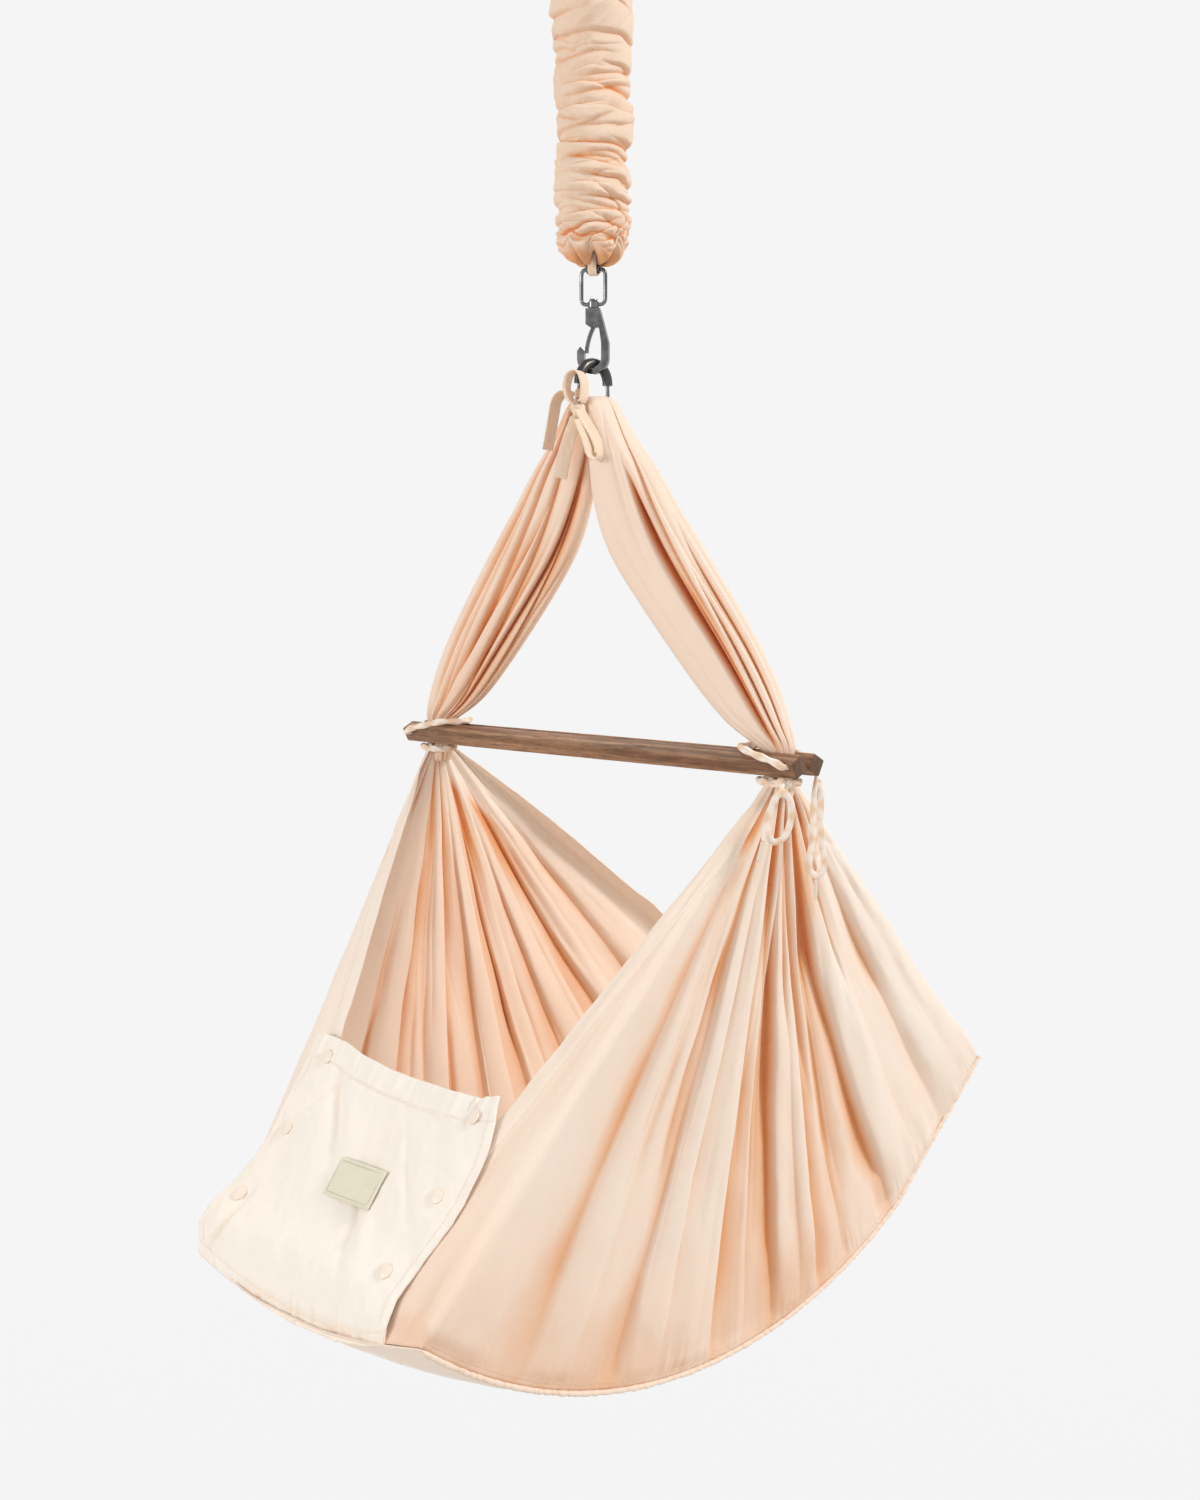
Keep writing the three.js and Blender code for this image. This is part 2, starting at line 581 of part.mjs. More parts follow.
// Outline of the snap hook, seen along Y: neck, straight spine on the right, bend and tip on the left
function hookShape() {
  const inner = hook.seatRadius;
  const outer = inner + hook.bar;
  const shape = new THREE.Shape();
  shape.moveTo(-hook.neck, hookTop);
  shape.lineTo(hook.neck, hookTop);
  shape.lineTo(outer, hookCentre.y + hook.tipRise);
  shape.lineTo(outer, hookCentre.y);
  shape.absarc(hookCentre.x, hookCentre.y, outer, 0, -Math.PI, true);
  shape.lineTo(-outer, hookCentre.y + hook.tipRise / 2);
  shape.lineTo(-inner - hook.bar / 2, hookCentre.y + hook.tipRise * 0.8);
  shape.lineTo(-inner, hookCentre.y + hook.tipRise / 2);
  shape.lineTo(-inner, hookCentre.y);
  shape.absarc(hookCentre.x, hookCentre.y, inner, Math.PI, 2 * Math.PI, false);
  shape.lineTo(inner, hookCentre.y + hook.tipRise);
  shape.lineTo(gatePivot.x + gate.pivotRadius + hook.bar * 0.2, gatePivot.y - gate.pivotRadius);
  shape.lineTo(gatePivot.x - gate.pivotRadius, gatePivot.y - gate.pivotRadius - touch);
  shape.lineTo(-hook.neck, gatePivot.y);
  return shape;
}

function extrudeAcross(shape, depth) {
  const geometry = new THREE.ExtrudeGeometry(shape, { depth, bevelEnabled: false, curveSegments: 8 });
  geometry.rotateX(Math.PI / 2);
  geometry.translate(0, depth / 2, 0);
  return toSolid(geometry);
}

function makeHookBody() {
  const slotDepth = gate.depth + 2 * touch;
  const slotHeight = gate.pivotDrop - rivet.sunk + gate.pivotRadius + overrun;
  const slotTop = hookTop - rivet.sunk - 2 * touch;
  const eyeRoom = gate.pivotRadius + touch;
  let solid = extrudeAcross(hookShape(), hook.depth);
  solid = solid.subtract(cylinder(rivet.radius + touch, rivet.sunk + touch + overrun, 16, 0, 0,
    hookTop + (overrun - rivet.sunk - touch) / 2));
  solid = solid.subtract(cylinder(eyeRoom, slotDepth, 20, gatePivot.x, 0, gatePivot.y, 'y'));
  solid = solid.subtract(block(hook.neck * 2, slotDepth, slotHeight,
    gatePivot.x - hook.neck, 0, slotTop - slotHeight / 2 - eyeRoom / 2));
  solid = solid.subtract(cylinder(gate.pinRadius + touch, hook.depth + 2 * overrun, 14, gatePivot.x, 0, gatePivot.y, 'y'));
  for (const share of [-1, 0, 1]) {
    const seat = tube(archPath(ringTube.skirt), ringTube.radius + touch, 10, 10);
    seat.translate(0, 0, -ringTop);
    seat.rotateY(share * ringSwing);
    seat.translate(0, 0, ringTop);
    seat.rotateZ(-hookTurn);
    solid = solid.subtract(toSolid(seat));
  }
  addPiece(hookGroup, 'hook_body', fromSolid(solid), 'steel');
}

// The gate is a bowed strip from its pivot to the inside of the hook's tip
function makeGate() {
  const tipX = -hook.seatRadius + gate.width / 2 + touch;
  const tipZ = hookCentre.y + hook.tipRise * 0.35;
  const middle = new THREE.Vector2((gatePivot.x + tipX) / 2 - gate.bow, (gatePivot.y + tipZ) / 2);
  const curve = new THREE.QuadraticBezierCurve(gatePivot, middle, new THREE.Vector2(tipX, tipZ));
  const points = curve.getPoints(7).map((p) => new THREE.Vector3(p.x, 0, p.y));
  const across = new THREE.Vector3(0, 1, 0);
  const strip = toSolid(sweep(points, tapeSection(gate.depth, gate.width, across)));
  const eyelet = cylinder(gate.pivotRadius, gate.depth, 20, gatePivot.x, 0, gatePivot.y, 'y');
  const bore = cylinder(gate.pinRadius + touch, gate.depth + 2 * overrun, 14, gatePivot.x, 0, gatePivot.y, 'y');
  addPiece(hookGroup, 'hook_gate', fromSolid(strip.add(eyelet).subtract(bore)), 'steel');
  const pin = cylinder(gate.pinRadius, hook.depth, 14, gatePivot.x, 0, gatePivot.y, 'y');
  addPiece(hookGroup, 'gate_pin', fromSolid(pin), 'steel');
}

// Sling ring: straight bottom bar, round arch on top. The tube covers the arch.

function ringPath() {
  const w = ring.halfWidth;
  const archZ = ringTop - w;
  const points = [new THREE.Vector3(0, -w, ringBottom + ring.corner)];
  points.push(new THREE.Vector3(0, -w + ring.corner * 0.3, ringBottom + ring.corner * 0.3));
  points.push(new THREE.Vector3(0, -w + ring.corner, ringBottom), new THREE.Vector3(0, w - ring.corner, ringBottom));
  points.push(new THREE.Vector3(0, w - ring.corner * 0.3, ringBottom + ring.corner * 0.3));
  points.push(new THREE.Vector3(0, w, ringBottom + ring.corner));
  for (let i = 0; i <= 12; i++) {
    const angle = (Math.PI * i) / 12;
    points.push(new THREE.Vector3(0, w * Math.cos(angle), archZ + w * Math.sin(angle)));
  }
  return points;
}

function archPath(skirt) {
  const w = ring.halfWidth;
  const archZ = ringTop - w;
  const points = [new THREE.Vector3(0, w, archZ - skirt)];
  for (let i = 0; i <= 12; i++) {
    const angle = (Math.PI * i) / 12;
    points.push(new THREE.Vector3(0, w * Math.cos(angle), archZ + w * Math.sin(angle)));
  }
  points.push(new THREE.Vector3(0, -w, archZ - skirt));
  return points;
}

function makeRing() {
  const across = new THREE.Vector3(1, 0, 0);
  addPiece(train, 'sling_ring', sweep(ringPath(), roundSection(ring.wire, 8, across), true), 'steel');
  const outer = toSolid(tube(archPath(ringTube.skirt), ringTube.radius, 10, 16));
  const bore = toSolid(tube(archPath(ringTube.skirt + overrun), ring.wire + hangGap, 8, 20));
  addPiece(train, 'ring_tube', fromSolid(outer.subtract(bore)), 'darkSteel');
}

// Sling legs, each a folded band of cloth from the ring to the bars and on between them

function legRing(level, from, to, halfDepth, side, fold) {
  const centre = (from + to) / 2;
  const half = (to - from) / 2;
  const points = [];
  for (let i = 0; i < leg.points; i++) {
    const angle = (2 * Math.PI * i) / leg.points;
    const crease = 1 - fold * (0.5 - 0.5 * Math.cos(leg.folds * angle + level / leg.rise));
    const x = Math.max(centre + half * Math.cos(angle) * crease, from);
    points.push(new THREE.Vector3(side * x, halfDepth * Math.sin(angle) * crease, level));
  }
  return points;
}

function makeLegs() {
  const last = legSectionShares.length - 2;
  for (const [name, side] of [['left_leg', -1], ['right_leg', 1]]) {
    const rings = legSectionShares.map(([level, inner, outer, depth], i) => {
      const from = Math.max(gatherX * inner, touch / 2);
      return legRing(leg.rise * level, from, gatherX * outer, leg.halfDepth * depth, side, i > 1 && i < last ? foldShare : 0);
    });
    for (const [level, width, depth] of lumpShares) {
      const outer = level < 0.4 ? neck.outer : neck.lump;
      rings.push(legRing(-lumpDrop * level, gatherX - neck.lump * width, gatherX + outer * width,
        leg.halfDepth * depth, side, 0));
    }
    const channel = cylinder(ring.wire + touch, 2 * (ring.halfWidth + overrun), 16, 0, 0, ringBottom - barLevel, 'y');
    addPiece(sling, name, fromSolid(toSolid(loft(rings)).subtract(channel)), 'peach');
  }
}

// Bars

function makeBars() {
  const half = bar.side / 2;
  const r = bar.edge;
  const shape = new THREE.Shape();
  shape.moveTo(-half + r, -half);
  shape.lineTo(half - r, -half);
  shape.absarc(half - r, -half + r, r, -Math.PI / 2, 0, false);
  shape.lineTo(half, half - r);
  shape.absarc(half - r, half - r, r, 0, Math.PI / 2, false);
  shape.lineTo(-half + r, half);
  shape.absarc(-half + r, half - r, r, Math.PI / 2, Math.PI, false);
  shape.lineTo(-half, -half + r);
  shape.absarc(-half + r, -half + r, r, Math.PI, Math.PI * 1.5, false);
  for (const [name, side] of [['near_bar', -1], ['far_bar', 1]]) {
    const straight = bar.length - 2 * bar.chamfer;
    const settings = { depth: straight, curveSegments: 2, bevelEnabled: true, bevelSegments: 1 };
    settings.bevelThickness = bar.chamfer;
    settings.bevelSize = bar.chamfer;
    settings.bevelOffset = -bar.chamfer;
    const stick = new THREE.ExtrudeGeometry(shape, settings);
    stick.translate(0, 0, -straight / 2);
    stick.rotateY(Math.PI / 2);
    stick.rotateX(-side * bar.roll);
    stick.translate(0, (side * bar.spacing) / 2, 0);
    let solid = toSolid(stick);
    for (const end of [-1, 1]) {
      const x = end * (bar.length / 2 - barHole.inset);
      solid = solid.subtract(cylinder(barHole.radius, 2 * bar.side, 16, x, (side * bar.spacing) / 2, 0, 'y'));
    }
    addPiece(sling, name, fromSolid(solid), 'wood');
  }
}

// Lashing: through both bar holes, across the front, over the bars and down the back

function makeLashings() {
  const hole = bar.length / 2 - barHole.inset;
  const { inner, over, front } = lashing;
  const mid = (hole + inner) / 2;
  const route = [
    [hole, 0, 0], [hole, -front * 0.55, 0], [hole, -front * 0.92, 0], [hole - cord.radius * 2, -front, over * 0.25],
    [mid, -front * 0.96, over * 0.66], [inner + cord.radius * 2.5, -front * 0.72, over], [inner, -front * 0.36, over],
    [inner - cord.radius / 2, 0, over * 0.96],
    [inner, front * 0.36, over], [inner + cord.radius * 2.5, front * 0.72, over], [mid, front * 0.96, over * 0.66],
    [hole - cord.radius * 2, front, over * 0.25], [hole, front * 0.92, 0], [hole, front * 0.55, 0],
  ];
  for (const [name, side] of [['left_lashing', -1], ['right_lashing', 1]]) {
    const points = smooth(route.map(([x, y, z]) => [side * x, y, z]), 36, true);
    addPiece(sling, name, sweep(points, roundSection(cord.radius, cord.sides), true), 'cordCotton');
  }
}

function makeBindings() {
  const halfX = neck.lump + hangGap + cord.radius;
  const halfY = leg.halfDepth * lumpShares[3][2] + hangGap + cord.radius;
  for (const [name, side] of [['left_binding', -1], ['right_binding', 1]]) {
    const points = [];
    for (let i = 0; i < 20; i++) {
      const angle = (2 * Math.PI * i) / 20;
      points.push(new THREE.Vector3(side * gatherX + halfX * Math.cos(angle), halfY * Math.sin(angle), binding.level));
    }
    const across = new THREE.Vector3(0, 0, 1);
    addPiece(sling, name, sweep(points, roundSection(cord.radius, cord.sides, across), true), 'cordCotton');
  }
  const outward = new THREE.Vector2(Math.cos(knotTurn) / halfX, Math.sin(knotTurn) / halfY).normalize();
  const reach = cord.radius + touch + knot.depth / 2;
  const lump = new THREE.SphereGeometry(knot.radius, 10, 6);
  lump.scale(1, knot.depth / (2 * knot.radius), knot.height / (2 * knot.radius));
  lump.rotateZ(Math.atan2(outward.x, -outward.y));
  lump.translate(gatherX + halfX * Math.cos(knotTurn) + outward.x * reach,
    halfY * Math.sin(knotTurn) + outward.y * reach, binding.level);
  addPiece(sling, 'tie_knot', fromSolid(toSolid(lump)), 'cordCotton');
}

// Free ties with their tips

function makeTie(name, tipName, route) {
  const hole = new THREE.Vector3(bar.length / 2 - barHole.inset, 0, 0);
  const points = vectors(route).map((point) => point.add(hole));
  const last = points.length - 1;
  addPiece(sling, name, fromSolid(toSolid(tube(points, tieRadius, cord.sides, 32))), 'cordCotton');
  const onward = points[last].clone().sub(points[last - 1]).normalize();
  const tip = new THREE.CylinderGeometry(aglet.radius, aglet.radius, aglet.length, 10);
  const turn = new THREE.Quaternion().setFromUnitVectors(new THREE.Vector3(0, 1, 0), onward);
  tip.applyQuaternion(turn);
  const middle = points[last].clone().addScaledVector(onward, touch + aglet.length / 2);
  tip.translate(middle.x, middle.y, middle.z);
  addPiece(sling, tipName, fromSolid(toSolid(tip)), 'clear');
}

// Tape wrapped round the ring's near side, its knot and its bow

function makeTieWrap() {
  const inner = ring.wire + touch;
  const outer = inner + tieWrap.thickness;
  const wrap = cylinder(outer, tieWrap.height, 12, 0, -ring.halfWidth, tieWrap.low + tieWrap.height / 2);
  const bore = cylinder(inner, tieWrap.height + 2 * overrun, 12, 0, -ring.halfWidth, tieWrap.low + tieWrap.height / 2);
  addPiece(sling, 'tie_wrap', fromSolid(wrap.subtract(bore)), 'peach');
  const lump = new THREE.SphereGeometry(bowKnot.radius, 10, 6);
  lump.scale(1, bowKnot.depth / (2 * bowKnot.radius), bowKnot.height / (2 * bowKnot.radius));
  lump.rotateZ(bowTurn);
  lump.translate(...bowKnot.place);
  addPiece(sling, 'bow_knot', fromSolid(toSolid(lump)), 'peach');
}

function makeBow() {
  const flat = (turn) => new THREE.Vector3(Math.cos(turn), Math.sin(turn), 0);
  for (const [name, route, across] of [
    ['bow_loop_up', bowUp, flat(-tapeTurn)], ['bow_loop_side', bowSide, flat(-sideTapeTurn)],
    ['bow_tail_left', bowTailLeft, flat(-sideTapeTurn)], ['bow_tail_front', bowTailFront, flat(bowTurn)],
  ]) {
    addPiece(sling, name, sweep(smooth(route, 16), tapeSection(tieTape.width, tieTape.thickness, across)), 'peach');
  }
}

// Cradle bed in radial planes

// Radius of the bed's seam line: an arc under the mattress, then straight to the head
function seamRadius(angle) {
  if (angle <= bed.bend) return bed.radius;
  const middle = (bed.bend + bedHead) / 2;
  return (bed.radius * Math.cos(middle - bed.bend)) / Math.cos(angle - middle);
}

// How far the bed hangs below its side seams, as the straight runs between its stations
const panelHalf = bed.halfWidth + panel.lip;
function sagAt(x) {
  const spot = (Math.min(Math.abs(x), panelHalf) / panelHalf) * (panel.stations / 2);
  const low = Math.min(Math.floor(spot), panel.stations / 2 - 1);
  const at = (k) => bed.sag * Math.max(0, 1 - ((k * 2 * panelHalf) / panel.stations / bed.halfWidth) ** 2);
  return at(low) + (at(low + 1) - at(low)) * (spot - low);
}

function polar(x, radius, angle, away = 0) {
  const y = radius * Math.sin(angle) + away * Math.cos(angle);
  const z = -radius * Math.cos(angle) + away * Math.sin(angle);
  return new THREE.Vector3(x, y, z);
}

const cornerX = (radius) => {
  const t = (radius - wallTop.radius) / (bed.radius - wallTop.radius);
  return wallTop.x + (bed.halfWidth - wallTop.x) * t;
};
const footHemX = (radius) => {
  const straight = wallTop.x - hem.slope * (radius - wallTop.radius);
  return Math.min(straight, cornerX(radius) - hem.least);
};
const headHemX = (radius) => {
  const t = (radius - wallTop.radius) / (bed.radius - wallTop.radius);
  return cornerX(radius) - hem.least - (hem.headBand - hem.least) * Math.min(1, hem.quick * t);
};

// One wall: foot hem band, folded side, head hem band
function wallGrid(side) {
  const columns = [];
  const stops = [0, 0.36, 0.72, 1];
  for (const stop of stops) columns.push({ angle: bed.foot, across: stop });
  for (let i = 1; i < cloth.columns; i++) {
    columns.push({ angle: bed.foot + ((bedHead - bed.foot) * i) / cloth.columns, across: 1 });
  }
  for (const stop of [...stops].reverse()) columns.push({ angle: bedHead, across: stop });
  return columns.map(({ angle, across }) => {
    const line = [];
    for (let j = 0; j < cloth.rows; j++) {
      const t = j / (cloth.rows - 1);
      const along = (angle - bed.foot) / (bedHead - bed.foot);
      const hemX = along < 0.5 ? footHemX : headHemX;
      const endX = hemX(bed.radius) + (bed.halfWidth - hemX(bed.radius)) * across;
      const end = seamRadius(angle) + sagAt(endX + cloth.thickness / 2) - 3 * touch;
      const radius = wallTop.radius + (end - wallTop.radius) * t;
      const x = hemX(radius) + (cornerX(radius) - hemX(radius)) * across;
      const swell = Math.sin(Math.PI * t ** wallFold.fullShare) ** 1.2;
      const wave = across === 1 ? Math.cos(2 * Math.PI * cloth.folds * along) - 1 : 0;
      const room = Math.min(1, radius / (bed.radius * 0.4));
      line.push(polar(side * (x - (wallFold.depth * room * swell * wave) / 2), radius, angle));
    }
    return line;
  });
}

function makeWalls() {
  for (const [name, side] of [['left_wall', -1], ['right_wall', 1]]) {
    addPiece(sling, name, sheet(wallGrid(side), cloth.thickness), 'peach');
  }
}

// The bed's cloth floor: a bottom panel up to the bend and a head panel that rises beyond it
function floorGrid(from, to, along) {
  const grid = [];
  for (let i = 0; i <= along; i++) {
    const angle = from + ((to - from) * i) / along;
    const line = [];
    for (let j = 0; j <= panel.stations; j++) {
      const x = panelHalf * ((2 * j) / panel.stations - 1);
      const inner = seamRadius(Math.min(Math.max(angle, bed.foot), bedHead)) + sagAt(x);
      line.push(polar(x, inner + panel.thickness / 2, angle));
    }
    grid.push(line);
  }
  return grid;
}

function makeFloor() {
  const overhang = panel.edge / bed.radius;
  const slit = (2 * touch) / bed.radius;
  const bottom = floorGrid(bed.foot - overhang, bed.bend, 20);
  addPiece(sling, 'bottom_panel', sheet(bottom, panel.thickness), 'peach');
  const head = floorGrid(bed.bend + slit, bedHead + overhang, 6);
  addPiece(sling, 'head_panel', sheet(head, panel.thickness), 'peach');
}

// Mattress and its fitted cover, both bent to the bed
function slabGrid(radiusAt, from, to, halfWidth, along, across) {
  const grid = [];
  for (let i = 0; i <= along; i++) {
    const angle = from + ((to - from) * i) / along;
    const line = [];
    for (let j = 0; j <= across; j++) {
      const x = halfWidth * ((2 * j) / across - 1);
      line.push(polar(x, radiusAt(angle, x, i, j), angle));
    }
    grid.push(line);
  }
  return grid;
}

function makeMattress() {
  const from = bed.foot + mattress.endGap / bed.radius;
  const side = cover.thickness + 2 * touch;
  const inset = side / bed.radius;
  const [along, across] = [14, 6];
  const underside = (angle, x) => seamRadius(angle) + sagAt(x) - 2 * touch;
  const crownAt = (i, j) => mattress.crown * Math.min(1, 4 * (i / along) * (1 - i / along) * 2)
    * Math.min(1, 4 * (j / across) * (1 - j / across) * 1.4);
  const core = (angle, x, i, j) => bed.radius - mattress.thickness + side - crownAt(i, j)
    + (seamRadius(angle) - bed.radius);
  const half = mattressHalf - side;
  const front = slabGrid(core, from + inset, mattress.head - inset, half, along, across).flat();
  const back = slabGrid(underside, from + inset, mattress.head - inset, half, along, across).flat();
  addPiece(sling, 'mattress_core', skinPair(front, back, along + 1, across + 1), 'foam');
  makeCover(from, along, across, core, underside);
}

// The cover is a tray turned over: a top skin and four sides, open underneath
function makeCover(from, along, across, core, underside) {
  const inset = (cover.thickness + touch) / bed.radius;
  const outerTop = (angle, x, i, j) => core(angle, x, i, j) - touch - cover.thickness;
  const innerTop = (angle, x, i, j) => core(angle, x, i, j) - touch;
  const half = mattressHalf;
  const outer = slabGrid(outerTop, from, mattress.head, half, along, across);
  const inner = slabGrid(innerTop, from + inset, mattress.head - inset, half - cover.thickness - touch, along, across);
  const outerLow = slabGrid((a, x) => underside(a, x) - touch, from, mattress.head, half, along, across);
  const innerLow = slabGrid((a, x) => underside(a, x) - touch, from + inset, mattress.head - inset,
    half - cover.thickness - touch, along, across);
  const rim = [];
  for (let i = 0; i <= along; i++) rim.push([i, 0]);
  for (let j = 1; j <= across; j++) rim.push([along, j]);
  for (let i = along - 1; i >= 0; i--) rim.push([i, across]);
  for (let j = across - 1; j > 0; j--) rim.push([0, j]);
  const positions = [...outer.flat(), ...inner.flat()];
  const offset = outer.flat().length;
  const lowOuter = positions.length;
  for (const [i, j] of rim) positions.push(outerLow[i][j]);
  const lowInner = positions.length;
  for (const [i, j] of rim) positions.push(innerLow[i][j]);
  const at = (i, j) => i * (across + 1) + j;
  const triangles = [];
  for (let i = 0; i < along; i++) {
    for (let j = 0; j < across; j++) {
      const [a, b, c, d] = [at(i, j), at(i + 1, j), at(i + 1, j + 1), at(i, j + 1)];
      triangles.push([a, b, c], [a, c, d], [offset + a, offset + c, offset + b], [offset + a, offset + d, offset + c]);
    }
  }
  for (let k = 0; k < rim.length; k++) {
    const n = (k + 1) % rim.length;
    const [a, b] = [at(...rim[k]), at(...rim[n])];
    const [lo, ln, li, lm] = [lowOuter + k, lowOuter + n, lowInner + k, lowInner + n];
    triangles.push([a, lo, ln], [a, ln, b]);
    triangles.push([offset + a, offset + b, lm], [offset + a, lm, li]);
    triangles.push([lo, li, lm], [lo, lm, ln]);
  }
  addPiece(sling, 'mattress_cover', closedGeometry(positions, triangles), 'cream');
}

// Foot flap with its snaps and label. It stands outside the foot hems and follows the floor's edge.

function endSheet(angle, away, thickness, height, topX, bottomX, across, up) {
  const grid = [];
  for (let i = 0; i <= across; i++) {
    const line = [];
    for (let j = 0; j <= up; j++) {
      const t = j / up;
      const x0 = bottomX[0] + (topX[0] - bottomX[0]) * t;
      const x1 = bottomX[1] + (topX[1] - bottomX[1]) * t;
      const x = x0 + ((x1 - x0) * i) / across;
      const low = bed.radius + sagAt(x) + panel.thickness;
      line.push(polar(x, low - (low - bed.radius + height) * t, angle, away));
    }
    grid.push(line);
  }
  return sheet(grid, thickness);
}


const flapAway = -(cloth.thickness / 2 + flap.standoff + flap.thickness / 2 + touch);
const flapSpan = (shares) => shares.map((share) => bed.halfWidth * share);
const onFlap = (share) => bed.radius - flap.height * share;
const snapLeft = snapLeftShares.map(([x, up]) => [bed.halfWidth * x, onFlap(up)]);
const snapRight = snapRightShares.map(([x, up]) => [bed.halfWidth * x, onFlap(up)]);

function makeFlap() {
  const geometry = endSheet(bed.foot, flapAway, flap.thickness, flap.height,
    flapSpan(flapTopShares), flapSpan(flapBottomShares), 8, 5);
  let solid = toSolid(geometry);
  for (const [x, radial] of [...snapLeft, ...snapRight]) {
    solid = solid.subtract(snapTool(snap.stem + touch, 2 * overrun, x, radial, flapAway));
  }
  addPiece(sling, 'foot_flap', fromSolid(solid), 'cream');
}

// A short round piece standing square to the foot end's plane
function snapGeometry(radius, height, x, radial, away, topRadius = radius) {
  const geometry = new THREE.CylinderGeometry(topRadius, radius, height, 12);
  geometry.rotateX(Math.PI / 2);
  const place = new THREE.Matrix4().makeRotationX(Math.PI / 2 + bed.foot);
  geometry.applyMatrix4(place);
  const spot = polar(x, radial, bed.foot, away);
  geometry.translate(spot.x, spot.y, spot.z);
  return geometry;
}

function snapTool(radius, height, x, radial, away) {
  return toSolid(snapGeometry(radius, height, x, radial, away));
}

function makeSnaps() {
  for (const [word, list] of [['left', snapLeft], ['right', snapRight]]) {
    list.forEach(([x, radial], i) => {
      const outside = flapAway - flap.thickness / 2 - touch;
      const inside = flapAway + flap.thickness / 2 + touch;
      const cap = toSolid(snapGeometry(snap.capRadius, snap.capHeight, x, radial, outside - snap.capHeight / 2,
        snap.capRadius * 0.8));
      const stemLength = outside - inside;
      const stem = snapTool(snap.stem, -stemLength + snap.flangeHeight, x, radial, (outside + inside) / 2);
      const flange = snapTool(snap.flange, snap.flangeHeight, x, radial, inside + snap.flangeHeight / 2);
      addPiece(sling, `snap_cap_${word}_${i + 1}`, fromSolid(cap.add(stem).add(flange)), 'snapResin');
      const studAway = -(cloth.thickness / 2 + touch + snap.stud / 2);
      const stud = snapTool(snap.flange, snap.stud, x, radial, studAway);
      addPiece(sling, `snap_stud_${word}_${i + 1}`, fromSolid(stud), 'snapResin');
    });
  }
}

function makeLabel() {
  const away = flapAway - flap.thickness / 2 - touch - label.thickness / 2;
  const geometry = new THREE.BoxGeometry(label.width, label.thickness, label.height);
  geometry.rotateX(bed.foot);
  const spot = polar(0, onFlap(label.heightShare), bed.foot, away);
  geometry.translate(spot.x, spot.y, spot.z);
  addPiece(sling, 'label_patch', fromSolid(toSolid(geometry)), 'patch');
}

makeCeilingPlate();
makeCeilingEye();
makeScrewLink();
makeSpring();
makeSleeve();
makeHangTape();
makeBail();
makeRivet();
makeHookBody();
makeGate();
makeRing();
makeLegs();
makeBars();
makeLashings();
makeBindings();
makeTie('right_tie_front', 'aglet_front', tieFront);
makeTie('right_tie_back', 'aglet_back', tieBack);
makeTieWrap();
makeBow();
makeWalls();
makeFloor();
makeMattress();
makeFlap();
makeSnaps();
makeLabel();

export default cradle;
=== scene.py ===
import math

import bmesh
import bpy
import numpy as np
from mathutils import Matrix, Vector


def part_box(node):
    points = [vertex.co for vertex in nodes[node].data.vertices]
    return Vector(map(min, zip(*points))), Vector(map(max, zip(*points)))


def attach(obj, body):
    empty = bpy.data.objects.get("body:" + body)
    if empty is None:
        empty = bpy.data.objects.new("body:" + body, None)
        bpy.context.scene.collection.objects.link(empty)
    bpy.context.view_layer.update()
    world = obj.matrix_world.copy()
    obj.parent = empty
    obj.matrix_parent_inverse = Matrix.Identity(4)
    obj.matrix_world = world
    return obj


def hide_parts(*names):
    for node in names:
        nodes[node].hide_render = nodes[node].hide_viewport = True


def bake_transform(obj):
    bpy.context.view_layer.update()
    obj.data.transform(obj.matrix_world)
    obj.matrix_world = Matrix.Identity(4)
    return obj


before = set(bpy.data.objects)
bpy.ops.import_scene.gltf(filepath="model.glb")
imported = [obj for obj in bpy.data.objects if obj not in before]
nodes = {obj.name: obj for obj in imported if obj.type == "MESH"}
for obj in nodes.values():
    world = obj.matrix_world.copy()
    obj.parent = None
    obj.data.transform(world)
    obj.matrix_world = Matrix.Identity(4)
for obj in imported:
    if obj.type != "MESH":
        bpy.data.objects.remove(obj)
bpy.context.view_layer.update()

# Sizes are in millimetres, as in the part. Places on the cradle are measured from the middle
# between the bars, and places on the hanging train from the ceiling face.
MM = 0.001
BAR = -761.45
rad = math.radians

# ---------------------------------------------------------------- camera

CAMERA_PLACE = Vector((1.2013, -1.2013, -0.60325))
CAMERA_TURN, CAMERA_PITCH = rad(44.8), rad(5.44)
LOOK = Vector((-math.sin(CAMERA_TURN) * math.cos(CAMERA_PITCH),
               math.cos(CAMERA_TURN) * math.cos(CAMERA_PITCH), -math.sin(CAMERA_PITCH)))

camera = bpy.data.objects.new("camera", bpy.data.cameras.new("camera"))
camera.location = CAMERA_PLACE
camera.rotation_mode = "QUATERNION"
camera.rotation_quaternion = LOOK.to_track_quat("-Z", "Y")
camera.data.sensor_fit = "VERTICAL"
camera.data.sensor_height = 36
camera.data.lens = 44.657
camera.data.clip_start, camera.data.clip_end = 0.02, 60
bpy.context.scene.collection.objects.link(camera)
bpy.context.scene.camera = camera

# ---------------------------------------------------------------- noise

GRID = 128
noise_grids = {}


def grid_of(seed):
    """A fixed grid of values from -1 to 1 for a seed."""
    if seed not in noise_grids:
        noise_grids[seed] = np.random.default_rng(seed).random((GRID, GRID)) * 2 - 1
    return noise_grids[seed]


